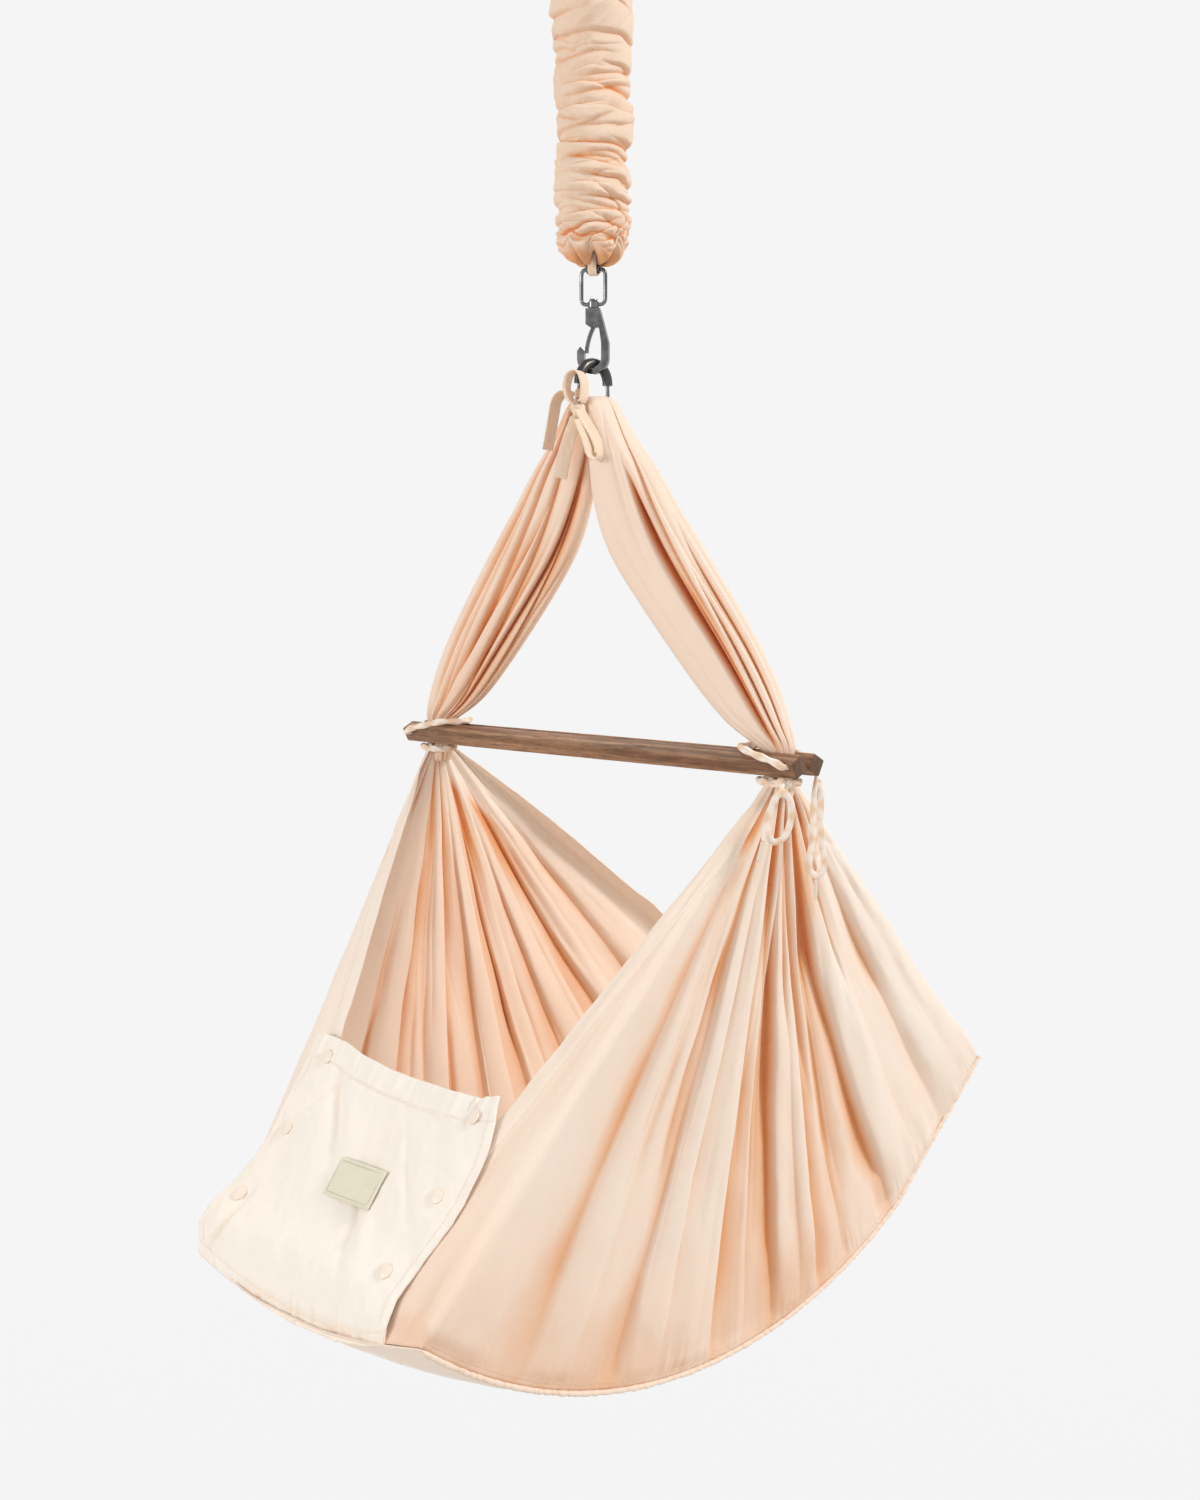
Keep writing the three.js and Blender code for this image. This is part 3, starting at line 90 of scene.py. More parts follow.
def soft_noise(x, y, seed):
    """Smooth noise from -1 to 1 on two arrays."""
    g = grid_of(seed)
    x, y = np.broadcast_arrays(np.asarray(x, float), np.asarray(y, float))
    i, j = np.floor(x).astype(int), np.floor(y).astype(int)
    fx, fy = x - i, y - j
    fx, fy = fx * fx * (3 - 2 * fx), fy * fy * (3 - 2 * fy)
    a, b = g[i % GRID, j % GRID], g[(i + 1) % GRID, j % GRID]
    c, d = g[i % GRID, (j + 1) % GRID], g[(i + 1) % GRID, (j + 1) % GRID]
    return (a * (1 - fx) + b * fx) * (1 - fy) + (c * (1 - fx) + d * fx) * fy


def rough(x, y, seed, octaves=4):
    """Noise with finer and fainter layers on top."""
    total, weight = 0, 1
    for k in range(octaves):
        total = total + weight * soft_noise(x * 2**k, y * 2**k, seed + k)
        weight *= 0.5
    return total


def step(x, low, high):
    """A smooth rise from 0 at low to 1 at high."""
    t = np.clip((np.asarray(x, float) - low) / (high - low), 0, 1)
    return t * t * (3 - 2 * t)


def bell(x, middle, width):
    """A smooth bump of height 1."""
    return np.exp(-(((np.asarray(x, float) - middle) / width) ** 2))


def ease_columns(table, reach, sigma):
    """Each column of a table smoothed, with its ends repeated."""
    kernel = np.exp(-0.5 * (np.arange(-reach, reach + 1) / sigma) ** 2)
    kernel /= kernel.sum()
    wide = np.concatenate([np.repeat(table[:1], reach, 0), table, np.repeat(table[-1:], reach, 0)])
    return np.stack([np.convolve(wide[:, k], kernel, "valid") for k in range(table.shape[1])], -1)


def ease_rows(table, reach, sigma):
    """Each row of a table smoothed, with its ends held where they are."""
    kernel = np.exp(-0.5 * (np.arange(-reach, reach + 1) / sigma) ** 2)
    kernel /= kernel.sum()
    left = 2 * table[:, :1] - table[:, reach:0:-1]
    right = 2 * table[:, -1:] - table[:, -2:-reach - 2:-1]
    wide = np.concatenate([left, table, right], 1)
    return np.stack([np.convolve(row, kernel, "valid") for row in wide])


# ---------------------------------------------------------------- meshes


def circle(radius, sides):
    a = np.linspace(0, 2 * np.pi, sides, endpoint=False)
    return np.stack([radius * np.cos(a), radius * np.sin(a)], -1)


def turned(points, angle):
    """Points turned about the upright axis."""
    p = np.array(points, float)
    c, s = math.cos(angle), math.sin(angle)
    return np.stack([p[..., 0] * c - p[..., 1] * s, p[..., 0] * s + p[..., 1] * c, p[..., 2]], -1)


def line_lengths(line):
    """The running length at each point of a line."""
    return np.concatenate([[0], np.linalg.norm(np.diff(line, axis=0), axis=1).cumsum()])


def smooth_shading(mesh):
    for polygon in mesh.polygons:
        polygon.use_smooth = True


def new_object(name, mesh, material, body=None):
    obj = bpy.data.objects.new(name, mesh)
    bpy.context.scene.collection.objects.link(obj)
    mesh.materials.append(material)
    smooth_shading(mesh)
    if body:
        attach(obj, body)
    return obj


def stand_for(obj, node):
    """Hides one of the part's nodes, whose place a detailed piece takes."""
    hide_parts(node)


def mesh_of(name, points, faces, uv=None, fold=None, level=0.0):
    """A mesh from points in millimetres. level is added to their height; uv is in millimetres of cloth."""
    co = np.array(points, float).reshape(-1, 3).copy()
    co[:, 2] += level
    mesh = bpy.data.meshes.new(name)
    mesh.from_pydata((co * MM).tolist(), [], [list(map(int, f)) for f in faces])
    mesh.update()
    if uv is not None:
        layer = mesh.uv_layers.new(name="UVMap")
        index = np.zeros(len(mesh.loops), int)
        mesh.loops.foreach_get("vertex_index", index)
        layer.data.foreach_set("uv", (np.array(uv, float).reshape(-1, 2)[index] * MM).ravel())
    if fold is not None:
        attribute = mesh.attributes.new("fold", "FLOAT", "POINT")
        attribute.data.foreach_set("value", np.clip(np.array(fold, float).ravel(), 0, 1))
    return mesh


def vertex_values(mesh, key="co"):
    """The places or normals of a mesh's vertices, one to a row."""
    values = np.zeros(len(mesh.vertices) * 3)
    mesh.vertices.foreach_get(key, values)
    return values.reshape(-1, 3)


def move_vertices(mesh, places):
    mesh.vertices.foreach_set("co", places.ravel())
    mesh.update()


def mend(mesh, merge=None):
    """Turns a mesh's faces outwards, after joining points that are nearer than merge, in metres."""
    tool = bmesh.new()
    tool.from_mesh(mesh)
    if merge:
        bmesh.ops.remove_doubles(tool, verts=tool.verts, dist=merge)
    bmesh.ops.recalc_face_normals(tool, faces=tool.faces)
    tool.to_mesh(mesh)
    tool.free()


def settle(obj):
    """Applies an object's modifiers, so that its mesh is final."""
    bpy.context.view_layer.update()
    ready = obj.evaluated_get(bpy.context.evaluated_depsgraph_get())
    mesh = bpy.data.meshes.new_from_object(ready)
    obj.modifiers.clear()
    old = obj.data
    obj.data = mesh
    bpy.data.meshes.remove(old)


def split_sharp(obj, angle=35):
    """Keeps hard edges hard under smooth shading."""
    edges = obj.modifiers.new("edges", "EDGE_SPLIT")
    edges.split_angle = rad(angle)
    edges.use_edge_sharp = False


def grid_faces(rows, columns, wrap=False):
    i, j = np.meshgrid(np.arange(rows - 1), np.arange(columns if wrap else columns - 1), indexing="ij")
    here, below = i * columns, (i + 1) * columns
    k = (j + 1) % columns
    return np.stack([here + j, here + k, below + k, below + j], -1).reshape(-1, 4)


def end_faces(rows, columns):
    """Flat faces that close both ends of a tube of rings."""
    last = (rows - 1) * columns
    return [list(range(columns - 1, -1, -1)), [last + j for j in range(columns)]]


def lengths_uv(points):
    """Cloth coordinates of a grid: running lengths both ways."""
    p = np.array(points, float)
    across = np.linalg.norm(np.diff(p, axis=1), axis=2).cumsum(1)
    across = np.concatenate([np.zeros((p.shape[0], 1)), across], 1)
    down = np.linalg.norm(np.diff(p, axis=0), axis=2).cumsum(0)
    down = np.concatenate([np.zeros((1, p.shape[1])), down], 0)
    return np.stack([across - across[:, -1:] / 2, down], -1)


def cloth_piece(name, points, thickness, material, body, tone=None, level=BAR, wrap=False):
    """A sheet on a grid of points, given its thickness. tone says how deep its painted fold shade is, over a
    tone of its own.
    """
    p = np.array(points, float)
    mesh = mesh_of(name, p, grid_faces(p.shape[0], p.shape[1], wrap), lengths_uv(p), tone, level)
    obj = new_object(name, mesh, material, body)
    solid = obj.modifiers.new("thickness", "SOLIDIFY")
    solid.thickness = thickness * MM
    solid.offset = 0
    solid.use_even_offset = False
    return obj


def two_tones(obj, points, toward, tone, other_tone):
    """Makes the cloth's mesh final. The face that looks the way of toward gets tone, the other other_tone."""
    settle(obj)
    grid = np.array(points, float)
    normal = np.cross(np.gradient(grid, axis=1), np.gradient(grid, axis=0))
    normal = normal * (np.sign((normal @ np.array(toward, float)).mean()) or 1)
    co = vertex_values(obj.data) / MM - np.array([0, 0, BAR])
    own = np.arange(len(co)) % (grid.shape[0] * grid.shape[1])
    side = ((co - grid.reshape(-1, 3)[own]) * normal.reshape(-1, 3)[own]).sum(1)
    values = np.where(side > 0, np.array(tone).ravel()[own], np.array(other_tone).ravel()[own])
    obj.data.attributes["fold"].data.foreach_set("value", np.clip(values, 0, 1))


def between(t, low, high, p, q):
    """The point between p at low and q at high."""
    return (high - t) / (high - low) * p + (t - low) / (high - low) * q


def span_points(a, b, c, d, count=24):
    """Points of a centripetal Catmull-Rom curve from b to c."""
    t1 = max(np.linalg.norm(b - a), 1e-6) ** 0.5
    t2 = t1 + max(np.linalg.norm(c - b), 1e-6) ** 0.5
    t3 = t2 + max(np.linalg.norm(d - c), 1e-6) ** 0.5
    out = []
    for t in np.linspace(t1, t2, count, endpoint=False):
        a1, a2, a3 = between(t, 0, t1, a, b), between(t, t1, t2, b, c), between(t, t2, t3, c, d)
        out.append(between(t, t1, t2, between(t, 0, t2, a1, a2), between(t, t1, t3, a2, a3)))
    return out


def smooth_line(points, count, closed=False):
    """Points evenly spaced on a smooth curve through the given ones."""
    p = np.array(points, float)
    n = len(p)
    out = []
    for i in range(n if closed else n - 1):
        b, c = p[i], p[(i + 1) % n]
        a = p[i - 1] if closed or i > 0 else 2 * b - c
        d = p[(i + 2) % n] if closed or i + 2 < n else 2 * c - b
        out += span_points(a, b, c, d)
    out.append(p[0] if closed else p[-1])
    out = np.array(out)
    run = line_lengths(out)
    at = np.linspace(0, run[-1], count + 1 if closed else count)
    line = np.stack([np.interp(at, run, out[:, k]) for k in range(3)], -1)
    return line[:-1] if closed else line


def frames_on(line, closed=False, across=None):
    """Side and other vectors at each point of a line, kept from twisting."""
    p = np.array(line, float)
    tangent = np.roll(p, -1, 0) - np.roll(p, 1, 0) if closed else np.gradient(p, axis=0)
    tangent /= np.linalg.norm(tangent, axis=1)[:, None]
    side, last = [], None
    for t in tangent:
        seed = across if across is not None else last
        if seed is None:
            seed = np.eye(3)[int(np.argmin(abs(t)))]
        last = seed - t * np.dot(seed, t)
        last /= np.linalg.norm(last)
        side.append(last)
    side = np.array(side)
    if closed and across is None:
        # spread what twist is left over the whole loop
        s = side[-1] - tangent[0] * np.dot(side[-1], tangent[0])
        s /= np.linalg.norm(s)
        angle = math.atan2(np.dot(np.cross(s, side[0]), tangent[0]), np.dot(s, side[0]))
        turn = angle * np.arange(len(p)) / len(p)
        side = side * np.cos(turn)[:, None] + np.cross(tangent, side) * np.sin(turn)[:, None]
    return side, np.cross(tangent, side)


def swept(line, outline, closed=False, across=None):
    """Rings of an outline carried along a line. The outline may be one list or one for each point."""
    side, other = frames_on(line, closed, across)
    outline = np.array(outline, float)
    if outline.ndim == 2:
        outline = np.broadcast_to(outline, (len(side), *outline.shape))
    return (np.array(line)[:, None, :] + outline[:, :, :1] * side[:, None, :]
            + outline[:, :, 1:] * other[:, None, :])


def rings_mesh(name, rings, closed=False, level=0.0, fold=None):
    """A skin over rings, with flat ends. Its coordinates run along and round the piece."""
    r = np.array(rings, float)
    n, m = r.shape[:2]
    faces = grid_faces(n, m, True).tolist()
    if closed:
        last = (n - 1) * m
        faces += [[last + j, last + (j + 1) % m, (j + 1) % m, j] for j in range(m)]
    else:
        faces += end_faces(n, m)
    girth = np.linalg.norm(np.diff(np.concatenate([r, r[:, :1]], 1), axis=1), axis=2).sum(1).mean()
    run = line_lengths(r.mean(1))
    uv = np.stack(np.broadcast_arrays(run[:, None], (np.arange(m) / m * girth)[None, :]), -1)
    return mesh_of(name, r, faces, uv, fold, level)


def rope(name, line, radius, material, body, closed=False, sides=16, level=BAR, turns=0, fatness=0.0):
    """A round cord or wire. With turns and fatness it is two strands twisted together."""
    around = np.linspace(0, 2 * np.pi, sides, endpoint=False)[None]
    twist = 2 * np.pi * turns * (np.arange(len(line)) / len(line))[:, None]
    strands = 1 + fatness * np.cos(2 * (around - twist))
    outline = circle(1, sides)[None] * (radius * strands)[:, :, None]
    return new_object(name, rings_mesh(name, swept(line, outline, closed), closed, level), material, body)


def turned_faces(sides, n, closed):
    """Faces between copies of a profile of n points."""
    faces = []
    for i in range(sides):
        k = (i + 1) % sides
        for j in range(n if closed else n - 1):
            m = (j + 1) % n
            faces.append([i * n + j, k * n + j, k * n + m, i * n + m])
    return faces


def turned_object(name, points, faces, material, body, level, sharp):
    mesh = mesh_of(name, points, faces, None, None, level)
    mend(mesh, 1e-6)
    obj = new_object(name, mesh, material, body)
    split_sharp(obj, sharp)
    return obj


def lathe(name, profile, material, body, sides, level=0.0, lying=None):
    """A turned piece from a closed profile of (radius, height). lying is its direction when it lies flat."""
    p = np.array(profile, float)
    a = np.linspace(0, 2 * np.pi, sides, endpoint=False)[:, None]
    heights = np.broadcast_to(p[None, :, 1], (sides, len(p)))
    points = np.stack([p[None, :, 0] * np.cos(a), p[None, :, 0] * np.sin(a), heights], -1).reshape(-1, 3)
    if lying is not None:
        points = turned(points[:, [2, 1, 0]] * [1, -1, 1], lying)
    return turned_object(name, points, turned_faces(sides, len(p), True), material, body, level, 35)


def turned_at(name, profile, spot, normal, material, body, sides=48):
    """A turned piece from an open profile, standing at a spot along a normal."""
    basis = Vector(normal).normalized().to_track_quat("Z", "Y").to_matrix()
    points = []
    for angle in np.linspace(0, 2 * np.pi, sides, endpoint=False):
        for radius, height in profile:
            local = Vector((radius * math.cos(angle), radius * math.sin(angle), height))
            points.append(np.array(spot) + np.array(basis @ local))
    return turned_object(name, points, turned_faces(sides, len(profile), False), material, body, BAR, 50)


def rounded(points, radius, count):
    """A closed outline with its corners rounded."""
    p = np.array(points, float)
    out = []
    for i in range(len(p)):
        a, b, c = p[i - 1], p[i], p[(i + 1) % len(p)]
        to_a, to_c = np.linalg.norm(a - b), np.linalg.norm(c - b)
        r = min(radius, to_a * 0.45, to_c * 0.45)
        s, e = b + (a - b) / to_a * r, b + (c - b) / to_c * r
        for t in np.linspace(0, 1, count):
            out.append((1 - t) ** 2 * s + 2 * t * (1 - t) * b + t * t * e)
    return np.array(out)


def softened_copy(name, node, width, body, segments=3, angle=30):
    """A steel copy of a rigid part: its flat faces are whole again and its edges are rounded."""
    mesh = nodes[node].data.copy()
    mesh.name = name
    mesh.materials.clear()
    tool = bmesh.new()
    tool.from_mesh(mesh)
    bmesh.ops.remove_doubles(tool, verts=tool.verts, dist=2e-6)
    bmesh.ops.dissolve_limit(tool, angle_limit=rad(2), verts=tool.verts, edges=tool.edges)
    tool.to_mesh(mesh)
    tool.free()
    obj = new_object(name, mesh, STEEL, body)
    bevel = obj.modifiers.new("edges", "BEVEL")
    bevel.width = width * MM
    bevel.segments = segments
    bevel.limit_method = "ANGLE"
    bevel.angle_limit = rad(angle)
    bevel.harden_normals = False
    stand_for(obj, node)


def cut(obj, tool_mesh):
    """Cuts a closed tool mesh out of an object."""
    helper = bpy.data.objects.new("cutter", tool_mesh)
    bpy.context.scene.collection.objects.link(helper)
    boolean = obj.modifiers.new("cut", "BOOLEAN")
    boolean.object = helper
    boolean.operation = "DIFFERENCE"
    boolean.solver = "EXACT"
    settle(obj)
    bpy.data.objects.remove(helper)


def stitch(a, b, radius):
    """The points of one stitch: four rings of six, narrow at both ends."""
    t = (b - a) / max(np.linalg.norm(b - a), 1e-9)
    s = np.cross(t, np.eye(3)[int(np.argmin(abs(t)))])
    s /= np.linalg.norm(s)
    o = np.cross(t, s)
    return [a + (b - a) * share + (s * u + o * v) * radius * size
            for share, size in ((0, 0.35), (0.18, 1), (0.82, 1), (1, 0.35)) for u, v in circle(1, 6)]


def stitches(name, lines, material, body, pitch=3.2, length=2.1, radius=0.28):
    """Sewing thread along lines: short capsules that lie on the cloth."""
    points, faces = [], []
    for line in lines:
        line = np.array(line, float)
        run = line_lengths(line)
        for start in np.arange(pitch / 2, run[-1] - length, pitch):
            a, b = (np.array([np.interp(v, run, line[:, k]) for k in range(3)])
                    for v in (start, start + length))
            base = len(points)
            points += stitch(a, b, radius)
            for k in range(3):
                low = base + k * 6
                faces += [[low + j, low + (j + 1) % 6, low + 6 + (j + 1) % 6, low + 6 + j] for j in range(6)]
            faces += [[base + f for f in face] for face in end_faces(4, 6)]
    new_object(name, mesh_of(name, points, faces, None, None, BAR), material, body)


# ---------------------------------------------------------------- materials


def srgb(r, g, b):
    """A colour as it shows on a screen, as linear light."""
    shares = (c / 255 for c in (r, g, b))
    return tuple(((c + 0.055) / 1.055) ** 2.4 if c > 0.04045 else c / 12.92 for c in shares) + (1.0,)


def dimmed(colour, share):
    return tuple(c * share for c in colour[:3]) + (1.0,)


class Tree:
    """Short hand for building a tree of shader nodes."""

    def __init__(self, tree):
        self.tree = tree

    def add(self, kind, **settings):
        node = self.tree.nodes.new(kind)
        for key, value in settings.items():
            if key.startswith("in_"):
                node.inputs[key[3:].replace("_", " ")].default_value = value
            else:
                setattr(node, key, value)
        return node

    def feed(self, socket, value):
        """Links a socket to an output, or sets it to a fixed value."""
        if isinstance(value, (int, float, tuple)):
            socket.default_value = value
        else:
            self.tree.links.new(value, socket)

    def math(self, operation, a, b=None):
        node = self.add("ShaderNodeMath", operation=operation)
        self.feed(node.inputs[0], a)
        if b is not None:
            self.feed(node.inputs[1], b)
        return node.outputs[0]

    def mix(self, factor, a, b):
        node = self.add("ShaderNodeMix", data_type="RGBA", blend_type="MIX")
        for k, value in ((0, factor), (6, a), (7, b)):
            self.feed(node.inputs[k], value)
        return node.outputs[2]

    def wave(self, vector, direction, scale, distortion, detail=2.0, detail_scale=1.0):
        node = self.add("ShaderNodeTexWave", wave_type="BANDS", bands_direction=direction,
                        wave_profile="SIN", in_Scale=scale, in_Distortion=distortion,
                        in_Detail=detail, in_Detail_Scale=detail_scale)
        self.feed(node.inputs["Vector"], vector)
        return node.outputs["Fac"]

    def noise(self, vector, scale, detail=4, roughness=0.55, distortion=0.0):
        node = self.add("ShaderNodeTexNoise", in_Scale=scale, in_Detail=detail, in_Roughness=roughness,
                        in_Distortion=distortion)
        if vector is not None:
            self.feed(node.inputs["Vector"], vector)
        return node.outputs["Fac"]

    def spread(self, value, low, high, to_low=0.0, to_high=1.0):
        node = self.add("ShaderNodeMapRange")
        for k, v in enumerate((value, low, high, to_low, to_high)):
            self.feed(node.inputs[k], v)
        return node.outputs[0]

    def bump(self, height, distance, strength=1.0, after=None):
        node = self.add("ShaderNodeBump", in_Strength=strength, in_Distance=distance)
        self.feed(node.inputs["Height"], height)
        if after is not None:
            self.feed(node.inputs["Normal"], after)
        return node.outputs[0]

    def mapped(self, vector, key, value):
        node = self.add("ShaderNodeMapping")
        node.inputs[key].default_value = value
        self.feed(node.inputs["Vector"], vector)
        return node.outputs[0]

    def scaled(self, vector, scale):
        return self.mapped(vector, "Scale", scale)

    def blend(self, factor, a, b, end):
        """Ends the tree in a mix of two shaders."""
        node = self.add("ShaderNodeMixShader")
        for k, value in enumerate((factor, a, b)):
            self.feed(node.inputs[k], value)
        self.feed(self.tree.nodes[end].inputs["Surface"], node.outputs[0])


class Nodes(Tree):
    """A new material's tree, with its places on the object and on the cloth."""

    def __init__(self, name):
        self.material = bpy.data.materials.new(name)
        self.material.use_nodes = True
        super().__init__(self.material.node_tree)
        self.shader = self.tree.nodes["Principled BSDF"]
        place = self.add("ShaderNodeTexCoord")
        self.object, self.uv = place.outputs["Object"], place.outputs["UV"]

    def set(self, socket, value):
        self.feed(self.shader.inputs[socket], value)


def cotton_colour(n, cloth, fold, weave, light, deep):
    """Light cotton with painted shade, warmer the deeper it lies in a fold, with slubs and painted shade in
    the gaps between the threads.
    """
    slub = n.noise(n.scaled(cloth, (1.0, 14.0, 1.0)), 60, 5, 0.6)
    slub_across = n.noise(n.scaled(cloth, (14.0, 1.0, 1.0)), 60, 5, 0.6)
    cloudy = n.noise(n.object, 9)
    shade_and_tone_depth = n.math("ADD", fold, n.spread(cloudy, 0.3, 0.7, -0.05, 0.05))
    middle = tuple(a * 0.68 + b * 0.32 for a, b in zip(light[:3], deep[:3])) + (1.0,)
    deepest_shade = (deep[0] * 0.84, deep[1] * 0.56, deep[2] * 0.38, 1.0)
    # the fold attribute paints shade: light cotton, then the middle, deep and deepest shade colours
    colour = n.mix(n.spread(shade_and_tone_depth, 0, 0.6), light, middle)
    colour = n.mix(n.spread(shade_and_tone_depth, 0.55, 0.88), colour, dimmed(deep, 0.95))
    colour = n.mix(n.spread(shade_and_tone_depth, 0.84, 1.0), colour, deepest_shade)
    colour = n.mix(n.spread(slub, 0.35, 0.75, 0.0, 0.12), colour, dimmed(light, 0.88))
    colour = n.mix(n.spread(slub_across, 0.35, 0.75, 0.0, 0.10), colour, dimmed(light, 0.9))
    # painted shade in the gaps between the threads
    return n.mix(n.spread(weave, 0.0, 0.35, 0.05, 0.0), colour, dimmed(deep, 0.8))


def cotton(name, light, deep, creases=0.4, wrinkle=0.0011, thread=0.42, use_uv=True):
    """Plain woven cotton: warp and weft of threads so many millimetres wide, and soft creases."""
    n = Nodes(name)
    cloth = n.uv if use_uv else n.object
    warp, weft = (n.wave(cloth, way, 50 / thread, 0.6, 1.0, 2.0) for way in ("X", "Y"))
    weave = n.math("MULTIPLY", warp, weft)
    # fold: how deep the painted shade lies at each point
    fold = n.add("ShaderNodeAttribute", attribute_name="fold").outputs["Fac"]
    n.set("Base Color", cotton_colour(n, cloth, fold, weave, light, deep))
    n.set("Roughness", n.spread(n.noise(cloth, 40, 3), 0.3, 0.7, 0.81, 0.92))
    n.set("Sheen Weight", 0.25)
    n.set("Sheen Roughness", 0.5)
    n.set("Specular IOR Level", 0.25)
    soft = n.noise(n.object, 34, 4, 0.5, 0.6)
    fine = n.noise(n.object, 150, 3, 0.5, 0.4)
    relief = n.bump(soft, wrinkle, creases)
    relief = n.bump(fine, wrinkle * 0.25, creases * 0.8, relief)
    n.set("Normal", n.bump(weave, 0.00004, 0.3, relief))
    return n.material


def braid(name, light, deep, pitch=2.4):
    """Braided cotton cord: crossing diagonal strands, so many millimetres apart."""
    n = Nodes(name)
    one, other = (n.wave(n.mapped(n.uv, "Rotation", (0, 0, turn)), "X", 50 / pitch, 0.3)
                  for turn in (0.9, -0.9))
    height = n.math("MAXIMUM", one, other)
    fuzz = n.noise(n.object, 1500, 3)
    # the colour deepens in the grooves between the strands: painted shade
    colour = n.mix(n.spread(height, 0.35, 0.95), deep, light)
    n.set("Base Color", n.mix(n.spread(fuzz, 0.4, 0.7, 0.0, 0.12), colour, deep))
    n.set("Roughness", n.spread(fuzz, 0.3, 0.7, 0.8, 0.95))
    n.set("Sheen Weight", 0.3)
    n.set("Normal", n.bump(fuzz, 0.0001, 0.4, n.bump(height, 0.00035, 0.7)))
    return n.material


def metal(name, colour, roughness, scratches=0.25, metallic=1.0):
    """Plated or coated steel with fine brushing, handling marks, and dark blotches of tarnish and painted dark
    reflection.
    """
    n = Nodes(name)
    brushed = n.noise(n.scaled(n.object, (1, 1, 9)), 220)
    tarnish_and_reflection = n.noise(n.object, 45, 5, 0.6)
    scuff = n.noise(n.scaled(n.object, (6, 1, 1)), 300, 6, 0.7, 1.5)
    # dark blotches: tarnish, and painted dark reflections of polished steel
    n.set("Base Color", n.mix(n.spread(tarnish_and_reflection, 0.40, 0.58, 0.0, 0.8), colour, dimmed(colour, 0.4)))
    worn = n.spread(tarnish_and_reflection, 0.3, 0.7, roughness * 0.8, roughness * 1.25)
    n.set("Roughness", n.math("ADD", worn, n.spread(scuff, 0.58, 0.75, 0.0, scratches * 0.4)))
    n.set("Metallic", metallic)
    n.set("Normal", n.bump(scuff, 0.00002, scratches, n.bump(brushed, 0.00003, scratches)))
    return n.material


def walnut(name):
    """Oiled walnut: long grain, darker growth lines, open pores, flecks and dark end grain."""
    n = Nodes(name)
    along = n.scaled(n.object, (5.0, 60.0, 60.0))
    drift = n.noise(along, 1.2, 5, 0.6, 0.8)
    bands = n.wave(along, "Y", 0.55, 7.0, 4.0, 1.6)
    pores = n.noise(n.scaled(n.object, (9.0, 170.0, 170.0)), 30, 4, 0.65)
    patches = n.noise(n.object, 11, 3)
    flecks = n.noise(n.scaled(n.object, (45.0, 520.0, 520.0)), 1.0, 5, 0.6)
    colour = n.mix(n.spread(bands, 0.1, 0.9), srgb(134, 98, 73), srgb(184, 144, 113))
    colour = n.mix(n.spread(drift, 0.35, 0.7, 0, 0.6), colour, srgb(112, 79, 57))
    colour = n.mix(n.spread(patches, 0.45, 0.65, 0, 0.35), colour, srgb(184, 142, 108))
    colour = n.mix(n.spread(pores, 0.56, 0.66, 0, 0.75), colour, srgb(76, 51, 37))
    colour = n.mix(n.spread(flecks, 0.48, 0.64, 0, 0.62), colour, srgb(92, 64, 46))
    colour = n.mix(n.spread(flecks, 0.30, 0.42, 0.35, 0), colour, srgb(186, 148, 116))
    across = n.add("ShaderNodeSeparateXYZ")
    n.feed(across.inputs[0], n.object)
    ends = n.spread(n.math("ABSOLUTE", across.outputs[0]), 0.2485, 0.2499, 0, 0.8)
    growth = n.spread(n.noise(n.object, 1400, 4, 0.6), 0.4, 0.6)
    n.set("Base Color", n.mix(ends, colour, n.mix(growth, srgb(66, 45, 33), srgb(104, 76, 56))))
    n.set("Roughness", n.spread(pores, 0.4, 0.7, 0.5, 0.72))
    n.set("Specular IOR Level", 0.35)
    n.set("Normal", n.bump(bands, 0.0001, 0.3, n.bump(pores, 0.00012, 0.5)))
    return n.material


def moulded(name, colour, roughness, coat):
    """Moulded resin or plastic with a faint flow pattern and handling marks."""
    n = Nodes(name)
    flow = n.noise(n.object, 90, 4, 0.5, 0.8)
    fine = n.noise(n.object, 900, 3)
    n.set("Base Color", n.mix(n.spread(flow, 0.35, 0.7, 0.0, 0.3), colour, dimmed(colour, 0.9)))
    n.set("Roughness", n.spread(flow, 0.3, 0.7, roughness - 0.06, roughness + 0.08))
    n.set("Coat Weight", coat)
    n.set("Normal", n.bump(fine, 0.00004, 0.35))
    return n.material


def hide(name, colour):
    """Smooth pale hide with a fine pebble grain."""
    n = Nodes(name)
    cells = n.add("ShaderNodeTexVoronoi", in_Scale=900)
    n.feed(cells.inputs["Vector"], n.object)
    cloudy = n.noise(n.object, 70)
    n.set("Base Color", n.mix(n.spread(cloudy, 0.35, 0.7, 0.0, 0.5), colour, dimmed(colour, 0.9)))
    n.set("Roughness", n.spread(cells.outputs["Distance"], 0.0, 0.6, 0.6, 0.72))
    n.set("Normal", n.bump(cells.outputs["Distance"], 0.00006, 0.5))
    return n.material


# each cotton's second colour is the warm painted shade that its folds take
PEACH = cotton("peach_cotton", srgb(253, 242, 229), srgb(238, 162, 92))
